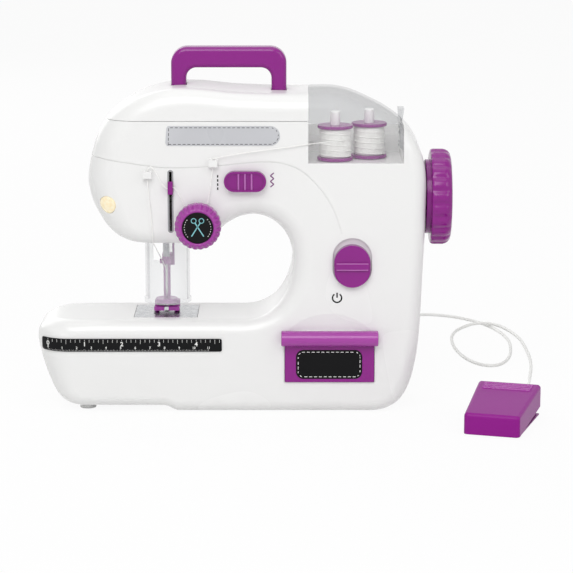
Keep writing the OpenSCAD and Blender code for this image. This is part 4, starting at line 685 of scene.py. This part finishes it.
def buildSpoolCover():
    s, h, step = spoolCover, hingeForm, caseCuts["step"]
    farY, farZ = caseCuts["past"][1:]
    low, rear, split, wide = s["frontZ"], s["rearZ"], s["split"], s["knuckleWide"]
    cover = bodySkin("spoolCover", 0, s["wall"], "both")
    kept = [(-farY, low), (split, low), (split, rear), (farY, rear), (farY, farZ), (-farY, farZ)]
    carve(cover, [prism("keep", "x", caseCuts["bay"][0], s["right"], kept)], "INTERSECT")
    carve(cover, [block("notch", *s["notch"])])
    for x in s["knuckles"]:
        earLow, earHigh = s["ear"]
        carve(cover, [prism("earBar", "x", x, x + wide, circleLine(*h["at"], h["r"], 32))], "UNION")
        carve(cover, [block("earFoot", (x + step, earLow, h["at"][1]),
                            (x + wide - step, earHigh, rear + s["earTop"]))], "UNION")
    carve(cover, [prism("pinHole", "x", *h["pinCut"], circleLine(*h["at"], h["pin"], 24))])
    carve(cover, [prism("fingerTab", "y", -s["tabDeep"], s["tabDeep"], s["tab"])], "UNION")
    dress(cover, clearCover, "spool_cover")
    # the back wall gets a denser grey, painted shade for the dim inside of the bay; the finger tab at the right gets
    # it too, a painted light band along that edge
    secondFinish(cover, paintedShadeAndEdgeCover, lambda p: p.y > s["paintedShadeFrom"] or p.x > s["paintedEdgeFrom"])


buildSpoolCover()
print("spool cover")

# carrying handle
handleForm = {"middle": 0.402, "wide": 78.4, "deep": 15, "low": 213, "top": 248.5, "bar": 14.2, "leg": 10.3,
              "outerRound": 11, "innerRound": 7, "soft": 3.4}


def archLine(x, w, low, high, r, count=10):
    left, right = x - w / 2, x + w / 2
    return ([(left, low)] + arcLine(left + r, high - r, r, 180, 90, count)
            + arcLine(right - r, high - r, r, 90, 0, count) + [(right, low)])


def buildHandle():
    h = handleForm
    outer = archLine(h["middle"], h["wide"], h["low"], h["top"], h["outerRound"])
    inner = archLine(h["middle"], h["wide"] - 2 * h["leg"], h["low"], h["top"] - h["bar"], h["innerRound"])
    grip = prism("carryHandle", "y", -h["deep"] / 2, h["deep"] / 2, outer + inner[::-1])
    soften(grip, h["soft"], 5, 50, lambda p: p.z > h["low"] + 1)
    dress(grip, purpleShell, "handle", angle=40)


buildHandle()
print("handle")

# moulded edges: the node's own form with its sharp rims rounded
softEdges = {"drawer": 0.7, "pedal_base": 0.6, "battery_door": 0.3, "feet": 0.5, "left_spool": 0.5,
             "right_spool": 0.5, "spool_pins": 0.8, "presser_lifter": 0.5, "take_up_lever": 0.35,
             "thread_guides": 0.4, "jack_socket": 0.3, "needle_clamp": 0.3, "presser_foot": 0.4, "pedal_gland": 0.4}
drawerLip = {"before": -36.8, "above": 48.6}


def roundedCopy(node, width):
    mesh = bpy.data.meshes.new(node + "Soft")
    with opened(mesh, nodes[node].data) as work:
        bmesh.ops.remove_doubles(work, verts=work.verts, dist=0.002 * mm)
        bmesh.ops.dissolve_limit(work, angle_limit=math.radians(0.5), verts=work.verts, edges=work.edges)
        bevelSharp(work, width, 3, 34)
    return dress(stand(node + "Soft", mesh), nodes[node].material_slots[0].material, node)


softPieces = {node: roundedCopy(node, width) for node, width in softEdges.items()}
# the grip along the drawer's top gets a lighter purple: painted highlight for the light it catches
secondFinish(softPieces["drawer"], purpleSoft, lambda p: p.y < drawerLip["before"] or p.z > drawerLip["above"])
print("soft edges")


# flat marks on a face: a line of (x, z) spots with a width
def ribbon(name, line, wide, face, thick):
    return prism(name, "y", face - thick, face + 0.02, bandLine(line, wide))


def stitchRow(name, line, stitch, face, thick):
    dash, gap, wide = stitch
    parts, at = [], 0
    for a, b in zip(line, line[1:]):
        a, b = Vector(a), Vector(b)
        reach = (b - a).length
        way = (b - a) / reach
        while at < reach:
            end = a + way * min(at + dash, reach + dash / 2)
            parts.append(ribbon("dash", [a + way * at, end], wide, face, thick))
            at += dash + gap
        at -= reach
    return merge(name, parts)


# soft bars across a front face
def faceBars(name, spots, size, low, high, soft):
    return merge(name, [soften(faceBlock("bar", *spot, *size, low, high), soft, 2) for spot in spots])


# stitch selector: oval slider with a raised rim and three finger ridges
selectorForm = {"at": (11.792, 161.52), "size": (28.4, 13.7), "back": -35.3, "face": -40.3, "rim": 1.5, "dip": 0.8,
                "ridgeGap": 4.4, "ridgeWide": 1.1, "ridgeProud": 0.3, "ridgeRoot": 0.4, "ridgeSoft": 0.3,
                "stem": (6, 4), "stemEnd": -32, "stemRoot": 0.2, "soft": 0.9}


def buildSelector():
    s = selectorForm
    (x, z), (w, h), rim = s["at"], s["size"], s["rim"]
    floor = s["face"] + s["dip"]
    knob = soften(prism("stitchSelector", "y", s["face"], s["back"], slotLine(x, z, w, h, 20)), s["soft"])
    carve(knob, [prism("dip", "y", s["face"] - 2, floor, slotLine(x, z, w - 2 * rim, h - 2 * rim, 20))])
    stem = faceBlock("stem", x, z, *s["stem"], s["back"] - s["stemRoot"], s["stemEnd"])
    dress(merge("stitchSelector", [knob, stem]), purpleShell, "selector_knob")
    # the three ridges get the lighter purple: painted highlights for the light on them
    spots = [(x + step * s["ridgeGap"], z) for step in (-1, 0, 1)]
    ridges = faceBars("selectorRidges", spots, (s["ridgeWide"], h - 2 * rim), s["face"] - s["ridgeProud"],
                      floor + s["ridgeRoot"], s["ridgeSoft"])
    dress(ridges, purpleHighlightPaint, "selector_knob", False)


# power switch: oval slider with a grip bar across it and two fine lines on the bar, painted lighter as the highlights
# along the bar's edges
switchForm = {"at": (84.152, 103.22), "size": (24.6, 29), "back": -32.8, "face": -38.5, "soft": 1.2,
              "bar": (22.6, 5.4), "barProud": 1.4, "barRoot": 0.4, "barSoft": 0.6,
              "line": (21.6, 0.6), "lineGap": 4.3, "lineProud": 0.12, "lineRoot": 0.3, "lineSoft": 0.15}


def buildSwitch():
    s = switchForm
    (x, z), top = s["at"], s["face"] - s["barProud"]
    knob = prism("powerSwitch", "y", s["face"], s["back"], slotLine(x, z, *s["size"], 20))
    soften(knob, s["soft"], 4, 60, lambda p: p.y < s["face"] + 0.1)
    bar = soften(faceBlock("bar", x, z, *s["bar"], top, s["face"] + s["barRoot"]), s["barSoft"])
    dress(merge("powerSwitch", [knob, bar]), purpleShell, "switch_knob")
    # two thin lighter lines on the bar: painted highlights for its lit edges
    spots = [(x, z + side * s["lineGap"] / 2) for side in (-1, 1)]
    lines = faceBars("switchHighlightLines", spots, s["line"], top - s["lineProud"], top + s["lineRoot"], s["lineSoft"])
    dress(lines, purpleHighlightPaint, "switch_knob", False)


# tension dial with a fluted, sloping side, a black face and a scissors sign
dialForm = {"at": (-19.832, 131.84), "flutes": 24, "count": 216, "face": -50.15, "ink": 0.1,
            "rows": [(3, -38.3), (14.7, -38.3), (15.5, -38.8, 0.2), (15.7, -39.8, 0.4), (15.7, -45, 0.45),
                     (15.4, -46.4, 0.8), (14.7, -47.8, 1.2), (13.7, -49.1, 0.9), (12.7, -50, 0.3), (12, -50.3),
                     (11.1, -50.25), (10.7, -49.95), (10.55, -49.4), (3, -49.3)],
            "faceRows": [(3, -49.2), (10.45, -49.3), (10.45, -49.95), (10.2, -50.15), (3, -50.15)],
            "loop": (2.6, 5, 1.6), "loopLine": 0.5, "blade": ((1.612, 3.4), (-4.1, -5.6)), "bladeLine": 0.75,
            "bladeInk": 0.12, "stitchR": 8.9, "stitch": (1, 0.75, 0.35), "stitchFrom": (-40, 140), "stitchTurn": 80}


def buildDial():
    d = dialForm
    (x, z), face, ink = d["at"], d["face"], d["ink"]
    dial = lathe("tensionDial", "y", d["at"], d["rows"], d["count"], d["flutes"])
    dress(dial, purpleSoft, "tension_knob", angle=50)
    dress(lathe("dialFace", "y", d["at"], d["faceRows"]), blackSatin, "tension_face")
    marks = []
    for side in (-1, 1):
        blade = [(x + side * dx, z + dz) for dx, dz in d["blade"]]
        dx, dz, r = d["loop"]
        marks.append(ribbon("blade", blade, d["bladeLine"], face, d["bladeInk"]))
        marks.append(ribbon("loop", arcLine(x + side * dx, z + dz, r, 0, 359, 32), d["loopLine"], face, ink))
    dress(merge("dialScissors", marks), inkTeal, "tension_face", False)
    rows = [stitchRow("arc", arcLine(x, z, d["stitchR"], start, start + d["stitchTurn"], 40), d["stitch"], face, ink)
            for start in d["stitchFrom"]]
    dress(merge("dialStitches", rows), inkWhite, "tension_face", False)


buildSelector()
buildSwitch()
buildDial()
print("selector, switch and dial")

# grey lips in the take-up slot, either side of the lever
slotLips = {"at": (-38.458, 147.316), "size": (3.95, 42.986), "gap": (1.75, 40.636), "face": -34.9, "deep": 0.9}


def buildSlotLips():
    s = slotLips
    lips = prism("slotLips", "y", s["face"], s["face"] + s["deep"], slotLine(*s["at"], *s["size"], 12))
    carve(lips, [faceBlock("lipGap", *s["at"], *s["gap"], -60, 0)])
    dress(lips, slotGrey, "slot_liner", False)


# handwheel: collar, grooved rim with a round outer edge, dished face with a boss
wheelForm = {"axis": "x", "centre": (0, 144.984), "flutes": 22, "count": 264,
             "rows": [(6, 134.6), (24.9, 134.6), (25.5, 135.1), (25.5, 138.1), (30.9, 138.1),
                      (32.2, 138.5, 0.4), (32.9, 139.6, 0.9), (33, 141.2, 1.1), (33, 146.6, 1.1),
                      (32.6, 148.4, 0.9), (31.6, 150.2, 0.5), (30, 151.5, 0.1), (28.4, 152), (24.6, 152),
                      (23.6, 151.6), (22, 149.6), (20.6, 149.3), (10.9, 149.3), (9.4, 149.8),
                      (8.2, 151.6), (7.2, 152), (2, 152)]}


def buildWheel():
    dress(lathe("handWheel", **wheelForm), purpleShell, "handwheel", angle=40)


# pedal treadle: tapered wedge with round corners and a ribbed strip near the back; pairs run from front to back
pedalForm = {"at": (174.8, -96), "turn": -16, "deep": 66, "wide": (37.5, 43.5), "low": (0.8, 6.5),
             "top": (15, 21.5), "corner": 2.6, "cornerLeast": 0.6, "cornerSteps": 8, "soft": 2.4, "softSteps": 6,
             "wall": 2, "ceiling": -2.4, "notch": (1.5, 6.5, 9.9), "notchRoot": 0.5,
             "ridges": 4, "ridgeR": 0.9, "ridgeStep": 3.2, "ridgeBack": 5, "ridgeEnd": 4.5, "ridgeSink": 0.15,
             "ridgeSoft": 0.4}


def alongPedal(pair, y):
    return pair[0] + (pair[1] - pair[0]) * y / pedalForm["deep"]


# outline drawn in by a shrink, at a share of the height and a lift
def wedgeRing(shrink, share, lift):
    p = pedalForm
    ring = []
    r = max(p["corner"] - shrink, p["cornerLeast"])
    front, back = shrink + r, p["deep"] - shrink - r
    for side, middle, start in ((-1, front, 180), (1, front, 270), (1, back, 0), (-1, back, 90)):
        for dx, y in arcLine(0, middle, r, start, start + 90, p["cornerSteps"]):
            x = side * (alongPedal(p["wide"], y) / 2 - shrink - r) + dx
            low, high = alongPedal(p["low"], y), alongPedal(p["top"], y)
            ring.append((x, y, low + (high - low) * share + lift))
    return ring


def buildPedal():
    p = pedalForm
    soft, deep, wall = p["soft"], p["deep"], p["wall"]
    rings = [wedgeRing(wall, 1, p["ceiling"]), wedgeRing(wall, 0, 0), wedgeRing(0, 0, 0)]
    for i in range(p["softSteps"] + 1):
        a = math.radians(90 * i / p["softSteps"])
        rings.append(wedgeRing(soft * (1 - math.cos(a)), 1, -soft * (1 - math.sin(a))))
    left, right, high = p["notch"]  # room for the cord's gland when the treadle goes down
    notch = block("notch", (left, deep - wall - p["notchRoot"], -1), (right, deep + 1, high))
    treadle = carve(ringMesh("treadle", rings), [notch])
    ridges = []
    for i in range(p["ridges"]):
        y = deep - p["ridgeBack"] - i * p["ridgeStep"]
        half = alongPedal(p["wide"], y) / 2 - p["ridgeEnd"]
        line = circleLine(y, alongPedal(p["top"], y) - p["ridgeSink"], p["ridgeR"], 16)
        ridges.append(soften(prism("ridge", "x", -half, half, line), p["ridgeSoft"], 2, 60))
    ribbed = merge("treadleRidges", ridges)
    for piece in (treadle, ribbed):
        settle(piece.data, (*p["at"], 0), ("Z", p["turn"]))
    dress(treadle, purplePedal, "pedal_treadle", angle=40)
    # the ridges get the lighter purple: painted highlight for the light on their tops
    dress(ribbed, purpleSoft, "pedal_treadle", False)


buildSlotLips()
buildWheel()
buildPedal()
print("slot lips, handwheel and pedal")

# printed signs and plain labels; a stitch is dash, gap and width
signs = {
    "face": -35, "ink": 0.08, "stitchInk": 0.06, "root": 0.02,
    "straight": {"line": [(-6.65, 165.4), (-6.65, 155.6)], "stitch": (1.7, 1.1, 0.9)},
    "zigzag": {"x": 29.9, "z": (166.8, 157.2), "wide": 2.3, "count": 5, "line": 0.75},
    "power": {"at": (73.95, 80.9), "r": 3.1, "arc": (125, 415), "bar": (0.2, 3.6), "line": 1},
    "plate": {"left": [(-39.8, 198.6), (-40.8, 197), (-41.6, 187.1), (-40.6, 185.1)], "end": (28.55, 191.85),
              "r": 6.75, "thick": 0.3, "soft": 0.12, "inset": 1.2, "stitch": (2, 1.2, 0.35),
              "border": [(-39.2, 197.4), (-39.6, 186.2)]},
    "label": {"box": (46.1, 24.6, 91.3, 44.9), "face": -36.5, "thick": 0.25, "corner": 5, "soft": 0.1,
              "border": (47.6, 26.1, 89.8, 43.4), "borderCorner": 3.6, "stitch": (2, 1.3, 0.4)},
}


def buildSigns():
    s, face, ink = signs, signs["face"], signs["ink"]
    def onCase(piece, material):
        dress(piece, material, "front_shell", False)
    def onDrawer(piece, material):
        dress(piece, material, "drawer", False)
    def plaque(name, outline, front, f):
        return soften(prism(name, "y", front - f["thick"], front + s["root"], outline), f["soft"], 2)

    onCase(stitchRow("straightSign", s["straight"]["line"], s["straight"]["stitch"], face, ink), inkBlack)
    f = s["zigzag"]
    (top, low), half = f["z"], f["wide"] / 2
    line = [(f["x"] + (-half if i % 2 else half), top + (low - top) * i / f["count"])
            for i in range(f["count"] + 1)]
    zigs = [ribbon("zig", pair, f["line"], face, ink) for pair in zip(line, line[1:])]
    onCase(merge("zigzagSign", zigs), inkPurple)
    f = s["power"]
    (x, z), (low, high) = f["at"], f["bar"]
    lines = [arcLine(x, z, f["r"], *f["arc"], 40), [(x, z + low), (x, z + high)]]
    onCase(merge("powerSign", [ribbon("power", line, f["line"], face, ink) for line in lines]), inkBlack)

    f = s["plate"]
    outline = f["left"] + arcLine(*f["end"], f["r"], -90, 90)
    onCase(plaque("namePlate", outline[::-1], face, f), labelSilver)
    border = f["border"][1:] + arcLine(*f["end"], f["r"] - f["inset"], -90, 90, 16) + f["border"]
    onCase(stitchRow("plateStitches", border, f["stitch"], face - f["thick"], s["stitchInk"]), inkBlack)
    f = s["label"]
    onDrawer(plaque("drawerLabel", roundedLine(*f["box"], f["corner"]), f["face"], f), blackSatin)
    border = roundedLine(*f["border"], f["borderCorner"])
    stitches = stitchRow("labelStitches", border + border[:1], f["stitch"], f["face"] - f["thick"], s["stitchInk"])
    onDrawer(stitches, inkWhite)


buildSigns()
print("signs")

# ruler strip on the base: inches above, centimetres below
rulerForm = {"x": (-128.06, -4.56), "z": (43.52, 52.4), "lift": 0.15, "thick": 0.6, "ink": 0.09, "inkRoot": 0.03,
             "corner": 1.3, "reach": (-60, -5), "digitAt": -28, "digitDeep": 20, "digitBold": 0.025,
             "zero": -123.6, "end": 1.5,
             "scales": [  # ticks run from the edge; a digit has its height and size
                 {"step": 25.4 / 8, "group": 8, "count": 37, "half": 0.1, "edge": 51.9, "tick": -2.1,
                  "ticks": {0: -1.1, 4: -3}, "digit": (47.4, 4.2)},
                 {"step": 1, "group": 10, "count": 110, "half": 0.07, "edge": 43.92, "tick": 0.8,
                  "ticks": {0: 1.5, 5: 1.2}, "digit": (45.52, 2.2)}]}


def digit(text, x, z, size):
    r = rulerForm
    curve = bpy.data.curves.new("digit", "FONT")
    curve.body = text
    curve.size = size * mm
    curve.align_x = "CENTER"
    curve.extrude = r["digitDeep"] * mm
    curve.offset = r["digitBold"] * size * mm
    curve.resolution_u = 3
    flat = stand("digit", curve)
    mesh = finalMesh(flat)
    bpy.data.objects.remove(flat)
    settle(mesh, (x, r["digitAt"], z), ("X", 90))
    with opened(mesh) as work:
        bmesh.ops.remove_doubles(work, verts=work.verts, dist=0.0005 * mm)
    return stand("digit", mesh)


def rulerMarks():
    r = rulerForm
    near, far = r["reach"]
    marks = []
    for s in r["scales"]:
        for i in range(s["count"] + 1):
            x, place = r["zero"] + s["step"] * i, i % s["group"]
            if x < r["x"][1] - r["end"]:
                low, high = sorted((s["edge"], s["edge"] + s["ticks"].get(place, s["tick"])))
                marks.append(block("tick", (x - s["half"], near, low), (x + s["half"], far, high)))
                if place == 0:
                    marks.append(digit(str(i // s["group"]), x, *s["digit"]))
    return merge("rulerMarks", marks)


def buildRuler():
    r = rulerForm
    (x0, x1), (z0, z1), depth = r["x"], r["z"], r["lift"] + r["thick"]
    band = prism("rulerBand", "y", *r["reach"], roundedLine(x0, z0, x1, z1, r["corner"], 6))
    strip = carve(bodySkin("rulerStrip", -depth, -r["lift"], "front"), [band], "INTERSECT")
    dress(strip, blackSatin, "ruler_strip")
    skin = bodySkin("rulerInk", -(depth + r["ink"]), -(depth - r["inkRoot"]), "front")
    dress(carve(skin, [rulerMarks()], "INTERSECT"), inkWhite, "ruler_strip", False)


buildRuler()
print("ruler strip")

# thread: wound spools and the run to the needle
spoolForm = {"left": (72.75, -8), "right": (96.28, 4), "low": 174.1, "high": 193.45, "core": 4, "sleeve": 9.75,
             "sleeveRows": 12, "coil": 10.1, "turns": 29, "backTurns": 5, "backLift": 0.5, "steps": 30,
             "thread": 0.34, "crown": 0.25, "margin": 0.4}
threadForm = {
    "radius": 0.3, "steps": 8,
    "route": [(79.1, -17.41, 186.48), (57.74, -33.1, 186.48), (55.34, -35.8, 186.48), (-9.65, -37.4, 176.71),
              (-9.65, -37.4, 170.71), (-16.43, -36.65, 131.84), (-19.83, -36.65, 128.44), (-23.23, -36.65, 131.84),
              (-35.46, -37.8, 156.98), (-41.46, -37.8, 156.98), (-50.87, -37.4, 171.27), (-53.87, -37.4, 168.87),
              (-53.87, -37.4, 162.87), (-50.87, -35.8, 128), (-50.87, -34.22, 122.1), (-50.87, -29.9, 117.78),
              (-50.87, -24, 116.2), (-45.05, -3.7, 98), (-43.55, -1.6, 93), (-43.55, -1.6, 79.5)],
    "stretches": [  # first and last spot, and the bodies that a stretch bends between
        ("threadFeed", 0, 7, None),
        ("threadToLever", 7, 9, ("case", "needle", (-23.23, -36.65, 131.84), (-35.46, -37.8, 156.98))),
        ("threadFromLever", 9, 16, ("needle", "case", (-41.46, -37.8, 156.98), (-50.87, -37.8, 156.98))),
        ("threadToNeedle", 16, 19, ("case", "needle", (-50.87, -24, 116.2), (-45.05, -3.7, 98)))],
}


def windSpool(name, at, node):
    s = spoolForm
    low, tall, count = s["low"], s["high"] - s["low"], s["sleeveRows"]
    rows = [(s["sleeve"] + s["crown"] * math.sin(math.pi * i / count), low + tall * i / count)
            for i in range(count + 1)]
    rows = [(s["core"], low)] + rows + [(s["core"], s["high"])]
    dress(lathe(name + "Sleeve", "z", at, rows, 48), threadWhite, node, False)
    line = []
    for turns, up in ((s["turns"], True), (s["backTurns"], False)):
        count = turns * s["steps"]
        for i in range(count + (0 if up else 1)):
            share = i / count if up else 1 - i / count
            lift = 0 if up else s["backLift"] * min(1, 8 * i / count)
            r = s["coil"] + s["crown"] * math.sin(math.pi * share) + lift
            x, y = rimSpot(*at, r, 2 * math.pi * i / s["steps"])
            line.append((x, y, low + s["margin"] + (tall - 2 * s["margin"]) * share))
    strand(name + "Coil", line, s["thread"], threadWhite, node, 1)


def buildNeedleThread():
    t = threadForm
    line = smoothLine(t["route"], t["steps"])
    for name, first, last, bend in t["stretches"]:
        part = line[first * t["steps"]:last * t["steps"] + 1]
        piece = strandMesh(name, part, t["radius"], threadWhite)
        if bend:
            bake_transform(piece)
        else:
            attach(piece, "case")
            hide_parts("thread_run")


windSpool("leftThread", spoolForm["left"], "left_thread")
windSpool("rightThread", spoolForm["right"], "right_thread")
buildNeedleThread()
print("threads")

# springs: wound wire in place of each spring node
springs = {"presser_spring": {"turns": 9, "joint": "presser_slide", "fixed": 1, "keep": 0.8},
           "pedal_spring": {"turns": 6, "joint": "treadle_press", "fixed": 0, "keep": 0.7}}
springWire = {"radius": 0.4, "steps": 24}


def buildSpring(node, turns, joint, fixed, keep):
    wire, steps = springWire["radius"], springWire["steps"]
    low, high = [[v / mm for v in corner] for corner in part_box(node)]
    x, y, r = (low[0] + high[0]) / 2, (low[1] + high[1]) / 2, (high[0] - low[0]) / 2 - wire
    count = turns * steps
    line = [(*rimSpot(x, y, r, 2 * math.pi * i / steps), low[2] + wire + (high[2] - low[2] - 2 * wire) * i / count)
            for i in range(count + 1)]
    coil = strandMesh(node + "Coil", line, wire, steelBright)
    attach(coil, "case")
    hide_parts(node)
    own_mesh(coil)


for node, spring in springs.items():
    buildSpring(node, **spring)
print("springs")

# floor, world and lamps
studio = {"ambient": 0.4, "backdrop": 1, "showThrough": 0.93, "floorHalf": 4, "floorZ": -0.0002, "floorTone": 0.86,
          "middle": (0.02, 0, 0.11),
          "lamps": [("key", (-0.3, -1.45, 1.5), 1.3, 20), ("fill", (1.3, -1.2, 1.1), 1, 6),
                    ("top", (0.1, 0.2, 1.6), 1.2, 3.5), ("rear", (-1, 1.4, 0.9), 1.4, 9)]}


# 1 for rays that show the backdrop, straight or in gloss and clear plastic
def seenRays(tree):
    path = addNode(tree, "LightPath", {}, {})
    total = path["Is Camera Ray"]
    for other in ("Is Glossy Ray", "Is Transmission Ray"):
        total = addNode(tree, "Math", {}, {0: total, 1: path[other]}, "MAXIMUM")["Value"]
    return total


def buildFloor():
    half, z, tone = studio["floorHalf"], studio["floorZ"], studio["floorTone"]
    mesh = bpy.data.meshes.new("floor")
    mesh.from_pydata([(-half, -half, z), (half, -half, z), (half, half, z), (-half, half, z)], [], [(0, 1, 2, 3)])
    material, tree, shader = newMaterial("paleFloor", {"Base Color": (tone, tone, tone, 1), "Roughness": 0.9})
    share = addNode(tree, "Math", {1: studio["showThrough"]}, {0: seenRays(tree)}, "MULTIPLY")["Value"]
    shine = addNode(tree, "Emission", {}, {})["Emission"]
    mix = addNode(tree, "MixShader", {}, {"Fac": share, 1: shader.outputs["BSDF"], 2: shine})["Shader"]
    tree.links.new(mix, tree.nodes["Material Output"].inputs["Surface"])
    mesh.materials.append(material)
    stand("floor", mesh)


def buildLight():
    world = bpy.data.worlds.new("studioWorld")
    world.use_nodes = True
    scene.world = world
    tree = world.node_tree
    sky = tree.nodes["Background"]
    sky.inputs["Color"].default_value = (1, 1, 1, 1)
    levels = {"To Min": studio["ambient"], "To Max": studio["backdrop"]}
    level = addNode(tree, "MapRange", levels, {"Value": seenRays(tree)})["Result"]
    tree.links.new(level, sky.inputs["Strength"])
    for name, at, size, power in studio["lamps"]:
        data = bpy.data.lights.new(name, "AREA")
        data.size = size
        data.energy = power
        lamp = stand(name, data)
        lamp.location = at
        lamp.rotation_euler = (Vector(studio["middle"]) - Vector(at)).to_track_quat("-Z", "Y").to_euler()
    scene.view_settings.view_transform = "Standard"


buildFloor()
buildLight()
print("studio")
